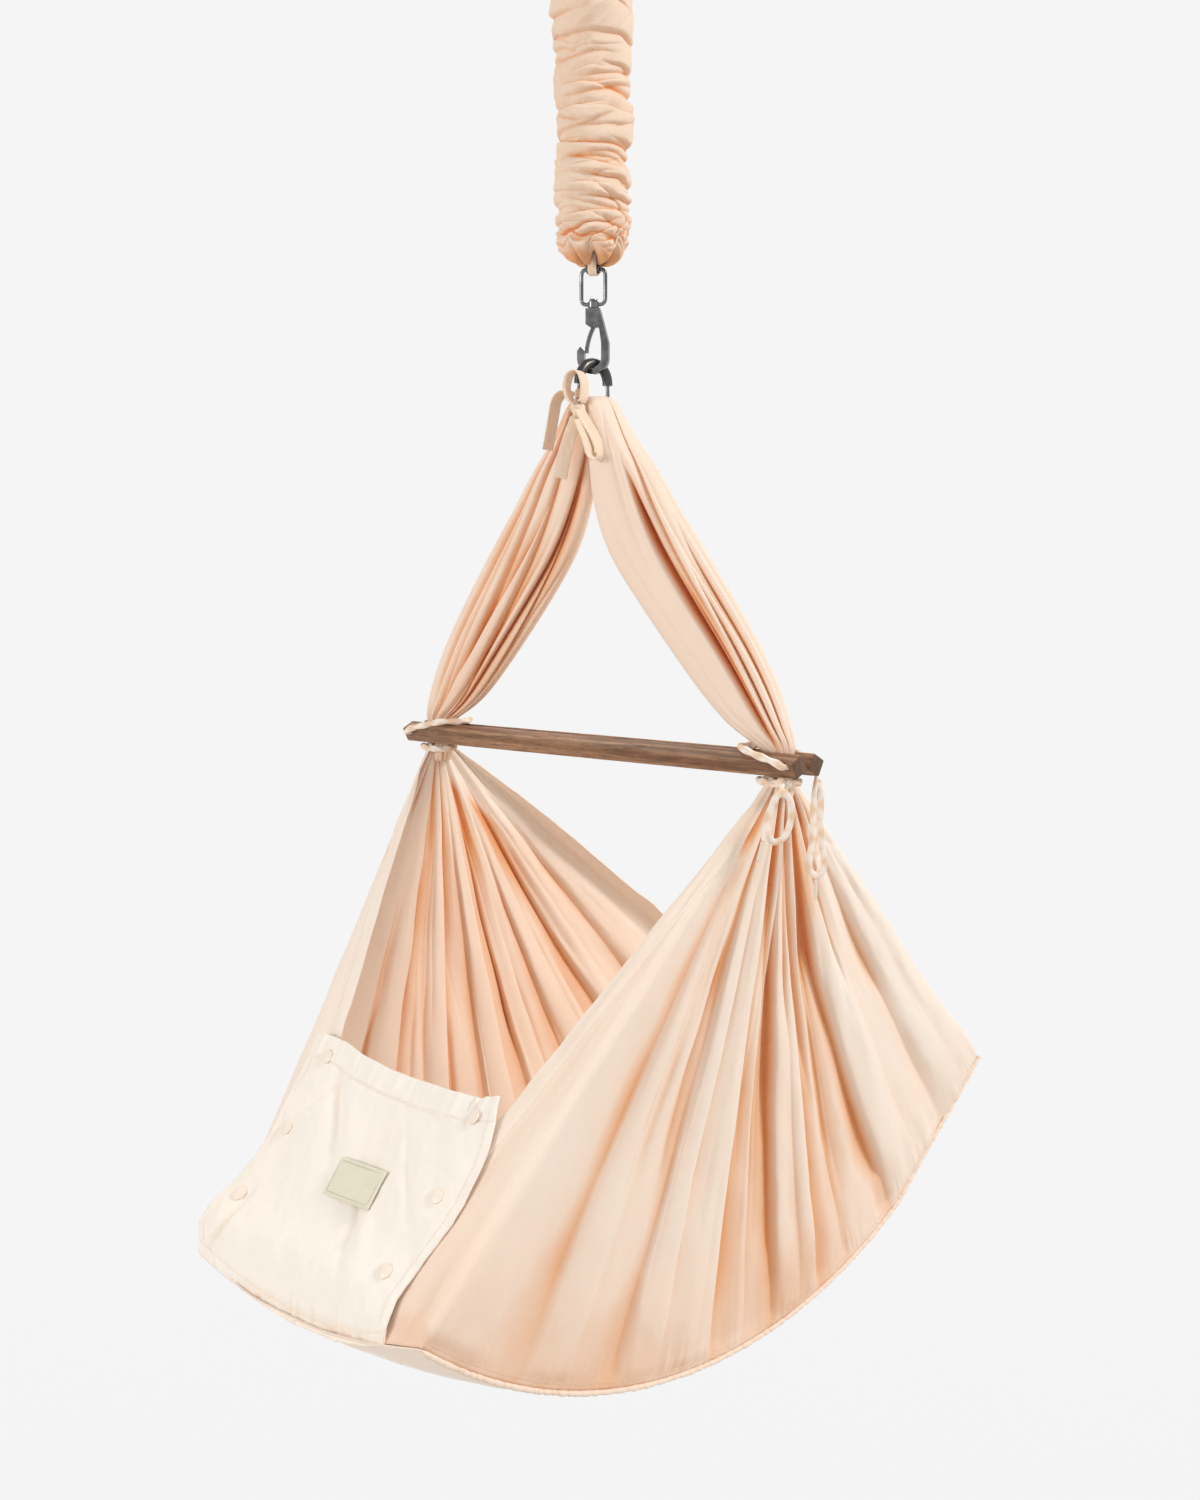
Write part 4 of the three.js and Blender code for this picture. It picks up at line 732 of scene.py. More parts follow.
# a dimmer copy of the peach cotton for the sleeve: painted shade, as it gets less light
SHADED_PEACH = cotton("peach_cotton_shaded", srgb(242, 228, 212), srgb(236, 162, 96), 0.5, 0.0014)
CREAM = cotton("cream_cotton", srgb(253, 246, 236), srgb(246, 212, 178), 0.3, 0.0009)
TAPE = cotton("peach_tape", srgb(247, 225, 203), srgb(238, 172, 112), 0.25, 0.0006, 0.6)
CORD = braid("cotton_cord", srgb(252, 240, 228), srgb(240, 208, 176))
THREAD = braid("sewing_thread", srgb(253, 243, 232), srgb(243, 218, 192), 0.5)
STEEL = metal("steel", (0.22, 0.225, 0.23, 1), 0.17)
DARK = metal("dark_steel", (0.12, 0.115, 0.11, 1), 0.3, 0.3, 0.9)
WOOD = walnut("walnut")
RESIN = moulded("snap_resin", srgb(248, 234, 219), 0.36, 0.2)
CLEAR = moulded("clear_tip", srgb(236, 226, 214), 0.2, 0.6)
HIDE = hide("label_hide", srgb(232, 227, 204))
FOAM = cotton("foam", srgb(243, 238, 222), srgb(220, 205, 170), creases=0.2, use_uv=False)

# ---------------------------------------------------------------- free tie ends

HOLE = 241.0  # the bars' holes, across from the middle
TIE_RADIUS = 1.8
TIE_FRONT = [
    (-2.6, -18.7, -15.2), (-0.2, -21.6, -15.3), (0.5, -25.8, -19), (-1.6, -30.1, -27),
    (-4.5, -33.6, -37), (-6, -35.1, -47), (-5.2, -34.3, -55.5), (-1.6, -30.8, -61),
    (2.6, -26.5, -59.5), (6.5, -23.3, -52), (9, -22.3, -42), (10.2, -23.1, -32),
    (9.7, -25.9, -24), (6.9, -30.1, -19.5), (3.2, -34.2, -23), (0.4, -36.3, -31),
    (-2, -38.2, -41), (-3.7, -39.6, -51), (-5.2, -40.7, -60),
]
TIE_BACK = [
    (0, 23.2, -3.3), (0, 23.2, -8.5), (-0.5, 22, -16), (-1, 20.8, -28), (-1.3, 20.5, -44),
    (-1.6, 20.2, -60), (-2.4, 19.4, -71), (-3.4, 18.4, -80), (-3.6, 18.2, -87.5), (-2, 19.8, -92.6),
    (0.8, 22.6, -94.4), (3.7, 25.5, -92.6), (5.2, 27, -87.5), (5.1, 26.9, -80),
    (4.1, 25.9, -71), (3.2, 25, -60), (3, 24.7, -44), (2.9, 24.7, -32), (2.7, 24.7, -24),
    (0.7, 26.2, -18.6), (-2.3, 28.6, -16.8), (-5.3, 31, -18.6), (-7.1, 32.2, -24), (-7.4, 32, -34),
    (-6.9, 31, -50), (-5.7, 29.3, -66), (-4.3, 27.7, -80), (-3.1, 26.6, -92), (-2.8, 26.2, -99),
]
# the clear tip: how far along it, and its radius there
TIP = [(0, 1.45), (0.4, 1.6), (1.2, 1.6), (1.6, 1.5), (14.5, 1.5), (15.6, 1.42), (16.6, 1.1), (17, 0.6)]


def tie_sizes(count):
    """Half thickness and half width along a tie: round at its ends and drawn flat between them."""
    full = np.ones(count)
    full[:3] = full[-3:][::-1] = [0.55, 0.83, 0.98]
    k = np.arange(count)
    flat = step(k, 6, 30) * (1 - step(k, count - 22, count - 8))
    thick = TIE_RADIUS * full * (1 - 0.28 * flat)
    wide = TIE_RADIUS * full * (1 + flat * (0.55 + 0.12 * soft_noise(k / 9, 0 * full, 77)))
    return np.stack([thick, wide], -1)


def free_tie(name, node, tip_name, tip_node, route):
    line = np.array([(x + HOLE, y, z) for x, y, z in route], float)
    fine = smooth_line(line, 220)
    outline = circle(1, 22)[None] * tie_sizes(len(fine))[:, None, :]
    rings = swept(fine, outline, across=np.array([-0.7071, 0.7071, 0]))
    obj = new_object(name, rings_mesh(name, rings, level=BAR), CORD, "cradle")
    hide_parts(node)
    onward = line[-1] - line[-2]
    onward /= np.linalg.norm(onward)
    spots = np.array([line[-1] + onward * 0.3 + onward * s for s, _ in TIP])
    outline = circle(1, 20)[None] * np.array([r for _, r in TIP])[:, None, None]
    tip = new_object(tip_name, rings_mesh(tip_name, swept(spots, outline), level=BAR), CLEAR, "cradle")
    split_sharp(tip)
    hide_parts(tip_node)


free_tie("tie_front", "right_tie_front", "tip_front", "aglet_front", TIE_FRONT)
free_tie("tie_back", "right_tie_back", "tip_back", "aglet_back", TIE_BACK)

# ---------------------------------------------------------------- cradle bed

# Angles round the bed at its foot edge, at the bend under the head, and at its head edge
FOOT, BEND, HEAD = rad(-37.7), rad(30.8), rad(50.6)
SEAM = 541.0  # radius of the seams below the bars
TOP = 25.6  # radius where the walls start at their bindings
HALF, PANEL_HALF, SAG = 145.0, 147.0, 18.0
GATHER = 219.0  # the bindings, across from the middle
HEM_WIDTH = 17.0
WALL_ROWS, BAND, RUN, END = 180, 64, 560, 30  # the wall's grid: rows, and columns of its three stretches
# directions to the key and fill lamps, which the painted shade follows
TO_LAMP, TO_FILL = np.array([0.70, 0.325, 0.64]), np.array([-0.25, -0.94, 0.22])


def polar(x, radius, angle, away=0.0):
    """Places on the bed from their radius and angle below the bars. away is how far past the angle."""
    x, radius, angle, away = np.broadcast_arrays(*(np.asarray(v, float) for v in (x, radius, angle, away)))
    return np.stack([x, radius * np.sin(angle) + away * np.cos(angle),
                     -radius * np.cos(angle) + away * np.sin(angle)], -1)


def seam_radius(angle):
    middle = (BEND + HEAD) / 2
    straight = SEAM * math.cos(middle - BEND) / np.cos(np.asarray(angle) - middle)
    return np.where(np.asarray(angle) <= BEND, SEAM, straight)


def sag_at(x):
    return SAG * np.maximum(0, 1 - (np.minimum(abs(np.asarray(x, float)), PANEL_HALF) / HALF) ** 2)


def corner_x(r):
    return GATHER + (HALF - GATHER) * (r - TOP) / (SEAM - TOP)


def foot_hem_x(r):
    return np.minimum(GATHER - 0.335 * (r - TOP), corner_x(r) - 3.4)


def head_hem_x(r):
    t = (r - TOP) / (SEAM - TOP)
    return corner_x(r) - 3.4 - 18.6 * np.minimum(1, 4 * np.maximum(t, 0))


def painted_lamp_shade(points, outward, wrap=False):
    """How far cloth turns from the lamps, 0 to 1: painted shade, warmer where it turns away from them."""
    du = np.roll(points, -1, 1) - np.roll(points, 1, 1) if wrap else np.gradient(points, axis=1)
    normal = np.cross(du, np.gradient(points, axis=0))
    normal /= np.linalg.norm(normal, axis=2)[:, :, None] + 1e-9
    normal = normal * (np.sign((normal * outward).sum(2).mean()) or 1)
    lit = 0.62 * np.maximum(0, normal @ TO_LAMP) + 0.27 * np.maximum(0, normal @ TO_FILL)
    return np.clip(1 - lit / 0.42, 0, 1)


# Where each wall is drawn in: its angle at the top and at the seam, depth, and how wide on each side
RIGHT_FOLDS = [
    (-53, -58, 3.0, 4.5, 6.0), (-40, -46, 4.0, 6.5, 3.5), (-27, -26.0, 10.0, 7.0, 1.5),
    (-20.5, -20, 3.5, 1.0, 2.4), (-12.5, -14.0, 11.5, 4.4, 0.9), (-7.5, -8, 5.0, 0.8, 2.6),
    (-1.0, 0, 12.0, 0.9, 4.2), (5.0, 4.6, 5.5, 0.8, 1.8), (8.8, 9.4, 12.5, 3.2, 0.8),
    (13, 13.5, 5.0, 1.6, 0.7), (16.2, 16.8, 13.5, 0.9, 2.9), (20.6, 21.6, 6.0, 0.8, 2.0),
    (24.0, 30.0, 15.0, 4.6, 0.9), (33.5, 36, 4.0, 2.6, 3.6), (40.5, 42, 8.5, 4.2, 1.4),
    (46.5, 47, 3.0, 2.4, 2.6),
]
LEFT_FOLDS = [
    (-46, -50, 4.0, 4.5, 4.0), (-33, -34, 7.0, 3.0, 1.2), (-24, -24.5, 7.5, 1.0, 3.4),
    (-15, -15, 10.0, 0.9, 3.6), (-9.5, -9.5, 5.0, 2.4, 0.8), (-3.6, -4.4, 11.0, 0.9, 3.4),
    (3.6, 2.6, 10.0, 3.6, 0.8), (8.6, 8.4, 5.0, 0.9, 2.2), (13, 11.6, 12.0, 4.2, 0.9),
    (21.5, 19.6, 8.5, 3.8, 1.0), (30.2, 30.8, 12.0, 5.2, 0.9), (35.5, 35.5, 4.0, 1.2, 2.8),
    (41, 38.5, 10.0, 3.6, 1.4), (47, 46.5, 4.0, 2.4, 1.8),
]
# how high the pleats of the gather are at each radius
PLEATS = [(12, 4.0), (30, 6.5), (60, 7.5), (120, 6.5), (200, 4.2), (300, 1.8), (380, 0)]


def small_folds(seed, count=34, low=-24, high=34):
    """Short lesser folds between the main ones: angle, depth, widths, and where each starts and ends."""
    pick = np.random.default_rng(seed)
    rows = []
    for _ in range(count):
        start = pick.uniform(20, 330)
        wide = pick.uniform(0.9, 2.4)
        sides = (wide, wide * 0.4) if pick.random() < 0.5 else (wide * 0.4, wide)
        middle, depth = pick.uniform(low, high), pick.uniform(1.6, 4.6)
        rows.append((middle, middle, depth, *sides, start, start + pick.uniform(120, 330)))
    return rows


def fold_relief(angle, radius, folds, seed):
    """How far the cloth is drawn in, how deep in a fold it is, and how far its crests lean over."""
    t = np.clip((radius - 60) / (SEAM - 60), 0, 1)
    total = np.zeros(np.broadcast(angle, radius).shape)
    line, lean = total.copy(), total.copy()
    sway = 0.9 * soft_noise(radius / 130, angle * 0 + 3.1, seed)
    rows = [(*fold, None, None) for fold in folds] + small_folds(seed)
    for i, (top, low, depth, left, right, start, stop) in enumerate(rows):
        gap = angle - (top + (low - top) * t + sway * (0.5 + 0.5 * math.sin(i * 2.1)))
        width = np.where(gap < 0, left, right) * (1 + 0.35 * (1 - t))
        width = np.maximum(width, 170 / np.maximum(radius, 50))
        deep = 1 + 0.25 * soft_noise(radius / 90 + i * 7.3, angle * 0, seed + 20)
        if start is not None:
            deep = deep * step(radius, start, start + 60) * (1 - step(radius, stop - 80, stop))
        total = total + depth * deep * np.exp(-(abs(gap) / width) ** 1.2)
        line = line + depth * deep * np.exp(-(abs(gap) / (0.55 * width + 0.15)) ** 1.3)
        steep, way = (left, -1) if left < right else (right, 1)
        lean = lean - way * 0.35 * depth * deep * np.exp(-((gap - way * 1.9 * steep) / (1.2 * steep)) ** 2)
    return total, line, lean


def smooth_wall(side):
    """The wall before its folds: points, radius, each column's share of the hem band, and its turn."""
    r = (TOP + (SEAM - TOP) * np.linspace(-0.022, 1, WALL_ROWS))[:, None]
    up, down = np.linspace(0, 1, BAND, endpoint=False), np.linspace(1, 0, END + 1)[1:]
    share = np.concatenate([up, np.ones(RUN), down])[None]
    turn = np.concatenate([np.zeros(BAND), np.linspace(0, 1, RUN), np.ones(END)])[None]
    hem = np.where(turn < 0.5, foot_hem_x(r), head_hem_x(r))
    x = hem + (corner_x(r) - hem) * share
    angle = np.broadcast_to(FOOT + (HEAD - FOOT) * turn, x.shape).copy()
    # the seam line is where the wall meets the floor
    end_x = np.where(turn < 0.5, foot_hem_x(SEAM), head_hem_x(SEAM))
    end_x = end_x + (HALF - end_x) * share
    low = seam_radius(angle) + sag_at(end_x + 1.2) - 0.9
    reach = np.clip((r - TOP) / (SEAM - TOP), -0.1, 1)
    radius = TOP + (low - TOP) * reach
    # corners are soft, and tighter over the mattress
    weight = 1 - 0.8 * step(reach, 0.80, 0.97)
    x = x + (ease_rows(x, 26, 9.0) - x) * weight
    angle = angle + (ease_rows(angle, 26, 9.0) - angle) * weight
    radius = radius + (ease_rows(radius, 26, 9.0) - radius) * weight * 0.5
    return polar(side * x, radius, angle), radius, share, turn


def wall_directions(points, side):
    """Unit vectors along the wall's columns and out of its face."""
    along = np.gradient(points, axis=1)
    normal = np.cross(along, np.gradient(points, axis=0))
    normal /= np.linalg.norm(normal, axis=2)[:, :, None] + 1e-9
    outward = np.sign((normal * polar(side * 1.0, 0, 0)[None, None]).sum(2).mean()) or 1
    return along / (np.linalg.norm(along, axis=2)[:, :, None] + 1e-9), normal * outward


def degrees_round(points, radius, turn):
    """The angle round the bed in degrees. Past the two corners it runs on by the cloth's length."""
    before, past = np.zeros(radius.shape), np.zeros(radius.shape)
    lengths = np.linalg.norm(np.diff(points, axis=1), axis=2)
    before[:, :BAND] = np.cumsum(lengths[:, :BAND][:, ::-1], 1)[:, ::-1]
    past[:, BAND + RUN:] = np.cumsum(lengths[:, BAND + RUN - 1:], 1)
    near = np.maximum(radius, 60)
    return np.degrees(FOOT + (HEAD - FOOT) * turn) - np.degrees(before / near) + np.degrees(past / near)


def gather_pleats(degrees, radius, seed):
    """Sharp pleats below the binding: their relief, and how deep in a valley each point lies."""
    middle = step(degrees, -34, -16) * (1 - step(degrees, 30, 44))
    drawn_up = np.maximum(middle, 1 - step(radius, 50, 120))
    height = np.interp(radius, *zip(*PLEATS))
    wave = degrees / 7.4 * np.pi + 2.4 * rough(degrees * 0.09, radius / 400, seed + 60, 2)
    ridge = abs(np.sin(wave * 0.5))
    uneven = 0.8 + 0.5 * soft_noise(degrees * 0.13, radius / 120, seed + 65)
    valley = np.clip(1.6 * (1 - ridge), 0, 1) ** 0.9
    valley = valley * np.clip(drawn_up, 0.35, 1) * np.clip(uneven + 0.2, 0.6, 1)
    return drawn_up * height * (0.55 - ridge ** 0.8) * uneven, valley


def seam_relief(degrees, radius, seed):
    """Ruffles right above the seam, and wider puckers over them."""
    phase = degrees * 1.7 + 2.6 * rough(degrees * 0.5, radius * 0, seed + 70)
    uneven = 0.7 + 0.5 * soft_noise(degrees * 0.9, radius * 0, seed + 80)
    ruffle = 0.8 * step(radius, 500, 524) * (1 - step(radius, 530, 541)) * (abs(np.sin(phase)) - 0.5) * uneven
    pucker = 1.1 * step(radius, 440, 512) * (1 - step(radius, 531, 541))
    return ruffle, pucker * soft_noise(degrees * 0.62, radius / 70, seed + 85)


def hem_relief(points, radius, turn, seed):
    """Distance from the nearest hem, the doubled band's relief, and the slack of its edge."""
    from_foot = np.linalg.norm(points - points[:, :1], axis=2)
    from_head = np.linalg.norm(points - points[:, -1:], axis=2)
    near_edge = np.minimum(from_foot, np.where(turn > 0.5, from_head, 1e9))
    doubled = 0.7 * (1 - step(near_edge, HEM_WIDTH - 0.5, HEM_WIDTH + 0.8))
    doubled = (doubled - 0.8 * bell(near_edge, HEM_WIDTH, 1.1)) * step(radius, 60, 150)
    slack = step(radius, 60, 200) * (1 - step(near_edge, 0, 30)) * 1.2
    return near_edge, doubled, slack * soft_noise(radius / 26, near_edge * 0, seed + 90)


def wall_shape(side, folds, seed):
    """A side wall with its folds: its points, how deep a painted shade each takes in its folds and pleats, and
    its distance to a hem.
    """
    points, radius, share, turn = smooth_wall(side)
    along, normal = wall_directions(points, side)
    degrees = degrees_round(points, radius, turn)
    drawn, line, lean = fold_relief(degrees, radius, folds, seed)
    size = step(radius, 10, 190) * (1 - 0.5 * step(radius, 430, 536)) * np.minimum(1, radius / 210 + 0.08)
    on_band = step(share + turn * 0, 0.0, 0.35)
    fine = 1.4 * rough(degrees * 0.24, radius / 170, seed + 40, 2)
    fine = fine + 0.5 * rough(degrees * 0.5, radius / 45, seed + 45, 2)
    pleats, valley = gather_pleats(degrees, radius, seed)
    ruffle, pucker = seam_relief(degrees, radius, seed)
    near_edge, doubled, slack = hem_relief(points, radius, turn, seed)
    # folds are drawn in towards the bed on the right wall and out on the left one
    spare = 5.0 + 2.5 * step(radius, 420, 500) if side > 0 else -3.0
    folded = -side * (drawn * size * on_band) + spare * size * on_band + fine * step(radius, 20, 120)
    move = pucker + folded * (1 - step(radius, 522, 541)) + ruffle - pleats * side + doubled + slack
    # nothing reaches into the mattress
    move = np.maximum(move, -30 + 25.5 * step(radius, 430, 500))
    shift = lean * size * on_band * (1 - step(radius, 470, 520))
    points = points + normal * move[:, :, None] + along * shift[:, :, None]
    # painted shade: along the fold valleys, and deepest in the gather's pleats
    deep = np.clip((line * size - 1.5) / 11.0, 0, 1) * (0.66 - 0.16 * step(radius, 380, 540))
    deep = deep + 0.20 * np.clip(drawn * size / 12, 0, 1)
    deep = np.clip(deep + 1.1 * valley * (1 - step(radius, 60, 240)), 0, 1)
    return points, deep, near_edge


def wall_tones(side, points, deep, near_edge, seed):
    """How deep a wall's painted shade is on the face that looks to the right, and on the other one, over a
    cloudy tone of its own.
    """
    spot = np.linspace(0, 1, points.shape[1])[None] + 0 * deep
    down = np.linspace(0, 1, points.shape[0])[:, None] + 0 * deep
    cloudy = 0.7 + 0.6 * (0.5 + 0.5 * rough(spot * 6, down * 3, seed + 300, 2))
    # painted shade in the pleats under the binding
    painted_gather_shade = 0.30 * (1 - step(down, 0.04, 0.34))
    lamp_shade_right = painted_lamp_shade(points, np.array([1.0, 0, 0]))
    lamp_shade_left = 0.16 * painted_lamp_shade(points, np.array([-1.0, 0, 0]))
    if side > 0:
        # paler towards the head end and warmer towards the seam: painted light and painted shade; then painted
        # shade in the folds and where the cloth turns from the lamps
        base = (0.26 - 0.20 * step(spot, 0.6, 0.92) + 0.22 * step(down, 0.66, 0.98)) * cloudy
        tone = base + (1 - base) * deep
        tone = tone + (1 - tone) * 0.42 * lamp_shade_right
        # paler along the hem bands below the top: painted light
        tone = tone * (0.55 + 0.45 * np.maximum(step(near_edge, 10, 30), 1 - step(down, 0.08, 0.3)))
        return tone, (0.36 + painted_gather_shade) * cloudy + lamp_shade_left
    base = 0.30 * cloudy
    tone = base + (1 - base) * deep * 0.85
    tone = tone + (1 - tone) * 0.35 * lamp_shade_right
    # the far hem band is painted pale: painted light
    painted_lit_hem = (1 - step(near_edge, 22, 52 - 14 * (1 - down))) * (spot > 0.5)
    tone = tone * (1 - painted_lit_hem) + 0.03 * painted_lit_hem
    other = (0.30 + painted_gather_shade) * cloudy + lamp_shade_left
    # the outer face is painted paler at the foot band: painted light
    return tone, other * (0.4 + 0.6 * step(spot, 0.07, 0.13))


def hem_line(points, near_edge, from_start, distance=16.2, first_row=26):
    """The line on a wall that runs at one distance from its hem."""
    line = []
    for k in range(first_row, points.shape[0] - 4):
        n = points.shape[1]
        for j in range(n // 2) if from_start else range(n - 1, n // 2, -1):
            if near_edge[k, j] >= distance:
                line.append(points[k, j])
                break
    return line


def side_wall(word, side, folds, seed):
    """One side wall with its hem stitching, and the line sewn along its seam."""
    points, deep, near_edge = wall_shape(side, folds, seed)
    tone, other = wall_tones(side, points, deep, near_edge, seed)
    wall = cloth_piece(f"{word}_side", points, 1.3, PEACH, "cradle", tone)
    two_tones(wall, points, (1, 0, 0), tone, other)
    stand_for(wall, f"{word}_wall")
    hems = [hem_line(points, near_edge, from_start) for from_start in (True, False)]
    stitches(f"{word}_hem_stitching", hems, THREAD, "cradle")
    sewn = points[int(points.shape[0] * 0.985), 66:-30] + np.array([side * 0.9, 0, 0])
    stitches(f"{word}_seam_stitching", [sewn], THREAD, "cradle", 3.6, 2.2)


def seam_roll(word, side, seed):
    """The gathered edge where a wall is sewn to the floor, as a ruffled roll."""
    a = np.linspace(FOOT, HEAD, 620)
    degrees = np.degrees(a)
    x = side * (HALF + 0.7 + 0.4 * soft_noise(degrees * 1.1, degrees * 0, seed + 5))
    pucker = abs(np.sin(degrees * 2.6 + 2.2 * rough(degrees * 0.5, degrees * 0, seed + 70)))
    sizes = 1.7 + 0.35 * pucker + 0.25 * soft_noise(degrees * 3, degrees * 0, seed + 6)
    sizes[:6] *= np.linspace(0.4, 1, 6)
    sizes[-6:] *= np.linspace(1, 0.4, 6)
    outline = circle(1, 14)[None] * sizes[:, None, None] * np.array([1.0, 1.25])
    line = polar(x, seam_radius(a) + 1.0 + 0.35 * pucker, a)
    rings = swept(line, outline, across=np.array([1.0, 0, 0]))
    # painted shade between the puckers
    tone = 0.42 + 0.2 * (1 - pucker)[:, None] * np.ones((1, 14))
    mesh = rings_mesh(f"{word}_seam", rings, level=BAR, fold=tone)
    new_object(f"{word}_seam", mesh, PEACH, "cradle")


def floor_panel(name, node, low, high, rows):
    """A panel of the bed's floor, gathered a little at both seams."""
    a = np.linspace(low, high, rows)[:, None]
    x = np.linspace(-PANEL_HALF, PANEL_HALF, 110)[None]
    edge = 1 - step(abs(x), 118, 147)
    relief = 1.3 * rough(a * 9, x / 60, 201) * (0.4 + 0.6 * edge)
    wander = 2 * soft_noise(np.degrees(a) * 0.6, x / 90, 203)
    relief = relief + 1.3 * (1 - edge) * np.sin(np.degrees(a) * 2.9 + wander)
    radius = seam_radius(np.clip(a, FOOT, HEAD)) + sag_at(x) + 1.2 + np.maximum(relief, -1.0) * 0.6
    # painted shade in the gathered waves near the seams
    tone = 0.34 + 0.18 * (1 - edge) * (0.5 - 0.5 * np.sin(np.degrees(a) * 2.9)) + 0 * a
    panel = cloth_piece(name, polar(x + 0 * a, radius, a + 0 * x), 1.6, PEACH, "cradle", tone)
    stand_for(panel, node)


for word, side, folds, seed in (("right", 1, RIGHT_FOLDS, 11), ("left", -1, LEFT_FOLDS, 37)):
    side_wall(word, side, folds, seed)
    seam_roll(word, side, seed)
floor_panel("bottom_cloth", "bottom_panel", FOOT - 0.006, BEND, 220)
floor_panel("head_cloth", "head_panel", BEND + 0.001, HEAD + 0.006, 90)

# ---------------------------------------------------------------- mattress

MATTRESS_HEAD = rad(33)


def slab_faces(along, across):
    """Faces of an upper and a lower grid, and of the rim between them."""
    offset = along * across
    faces = grid_faces(along, across).tolist()
    faces += [[offset + d, offset + c, offset + b, offset + a] for a, b, c, d in faces]
    rim = [i * across for i in range(along)] + [(along - 1) * across + j for j in range(1, across)]
    rim += [i * across + across - 1 for i in range(along - 2, -1, -1)] + list(range(across - 2, 0, -1))
    ahead = rim[1:] + rim[:1]
    return faces + [[a, offset + a, offset + b, b] for a, b in zip(rim, ahead)]


def slab(name, half, start, stop, thick, edge, material, drop):
    """A padded slab with crowned faces and rounded edges, bent to the bed."""
    along, across = 150, 66
    u, v = np.linspace(-1, 1, along)[:, None], np.linspace(-1, 1, across)[None]
    # crowd the lines towards the edges so that they can be round
    u, v = (np.sin(w * np.pi / 2) * 0.6 + w * 0.4 for w in (u, v))
    middle, reach = (start + stop) / 2, (stop - start) / 2
    gap_u = np.clip(1 - (1 - abs(u)) * (reach * SEAM) / edge, 0, 1)
    gap_v = np.clip(1 - (1 - abs(v)) * half / edge, 0, 1)
    lip = np.sqrt(np.clip(1 - np.minimum(1, gap_u**2 + gap_v**2), 0, 1))
    crown = 4.0 * (1 - u**4) * (1 - v**4)
    # corners pull in
    corner = gap_u * gap_v
    x = half * (v + 0 * u) * (1 - 0.035 * corner)
    angle = middle + (reach * u + 0 * v) * (1 - 0.016 * corner)
    base = seam_radius(angle) + sag_at(x) - 1.2 - drop
    upper = polar(x, base - (thick * 0.5 + thick * 0.5 * lip + crown * lip), angle)
    lower = polar(x, base - thick * 0.5 + thick * 0.5 * lip, angle)
    uv = np.stack(np.broadcast_arrays(x, angle * SEAM), -1).reshape(-1, 2)
    mesh = mesh_of(name, np.concatenate([upper.reshape(-1, 3), lower.reshape(-1, 3)]),
                   slab_faces(along, across), np.concatenate([uv] * 2), np.zeros(2 * along * across), BAR)
    mend(mesh, 2e-5)
    return new_object(name, mesh, material)


def add_cloth(obj, frames):
    """Cloth settings for a cover that is blown up a little from inside."""
    cloth = obj.modifiers.new("cloth", "CLOTH")
    settings = cloth.settings
    settings.quality = 4
    settings.mass = 0.3
    settings.tension_stiffness = settings.compression_stiffness = 12
    settings.bending_stiffness = 0.6
    settings.use_pressure = True
    settings.uniform_pressure_force = 4.0
    settings.effector_weights.gravity = 0
    cloth.point_cache.frame_start, cloth.point_cache.frame_end = 1, frames


def swell(obj, most=5.0, frames=20, voxel=0.006):
    """Lets a padded cover settle under its filling, and keeps every point close to where it began."""
    remesh = obj.modifiers.new("remesh", "REMESH")
    remesh.mode = "VOXEL"
    remesh.voxel_size = voxel
    settle(obj)
    before = vertex_values(obj.data)
    add_cloth(obj, frames)
    scene = bpy.context.scene
    for f in range(1, frames + 1):
        scene.frame_set(f)
    settle(obj)
    scene.frame_set(1)
    shift = vertex_values(obj.data) - before
    size = np.linalg.norm(shift, axis=1)[:, None]
    move_vertices(obj.data, before + shift * np.minimum(1, most * MM / np.maximum(size, 1e-9)))
    relax = obj.modifiers.new("relax", "SMOOTH")
    relax.factor, relax.iterations = 0.5, 3
    finer = obj.modifiers.new("finer", "SUBSURF")
    finer.levels = finer.render_levels = 1
    settle(obj)
    smooth_shading(obj.data)


def wrinkle(obj):
    """Gives a cover shallow wrinkles, with painted shade in their valleys."""
    mesh = obj.data
    attribute = mesh.attributes.get("fold") or mesh.attributes.new("fold", "FLOAT", "POINT")
    co = vertex_values(mesh) / MM
    x, y = co[:, 0], co[:, 1]
    wide, fine = rough(x / 55, y / 70, 301, 4), rough(x / 14, y / 22, 305, 3)
    attribute.data.foreach_set("value", np.clip(0.10 + 0.25 * np.clip(-wide, 0, 1), 0, 1))
    move_vertices(mesh, (co + vertex_values(mesh, "normal") * (0.9 * wide + 0.5 * fine)[:, None]) * MM)


def padded(obj, node):
    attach(obj, "cradle")
    stand_for(obj, node)


core = slab("mattress_pad", 129, FOOT + 0.026, MATTRESS_HEAD - 0.02, 26, 12, FOAM, 4)
padded(core, "mattress_core")
cover = slab("mattress_slip", 135, FOOT + 4 / SEAM + 0.004, MATTRESS_HEAD - 0.006, 33, 15, CREAM, 1.5)
swell(cover)
wrinkle(cover)
padded(cover, "mattress_cover")

# ---------------------------------------------------------------- foot flap

FLAP_AWAY = -5.4
TOP_EDGE = [(-150, 331), (-131, 329), (-99, 331.5), (-72, 338), (-32, 343), (10, 345), (53, 346),
            (84, 344.5), (112, 338)]
LOW_EDGE = [(-158, 539), (-143, 546), (-120, 550), (-90, 555), (-45, 561), (0, 564), (53, 562),
            (85, 556), (110, 550)]
LEFT_EDGE = [(329, -146), (351, -142), (405, -137), (455, -140), (480, -148), (500, -155),
             (521, -157), (538, -148)]
RIGHT_EDGE = [(339, 106), (357, 113), (380, 119), (400, 121), (430, 121), (447, 119.5),
              (471, 113), (493, 108), (515, 104), (547, 108)]
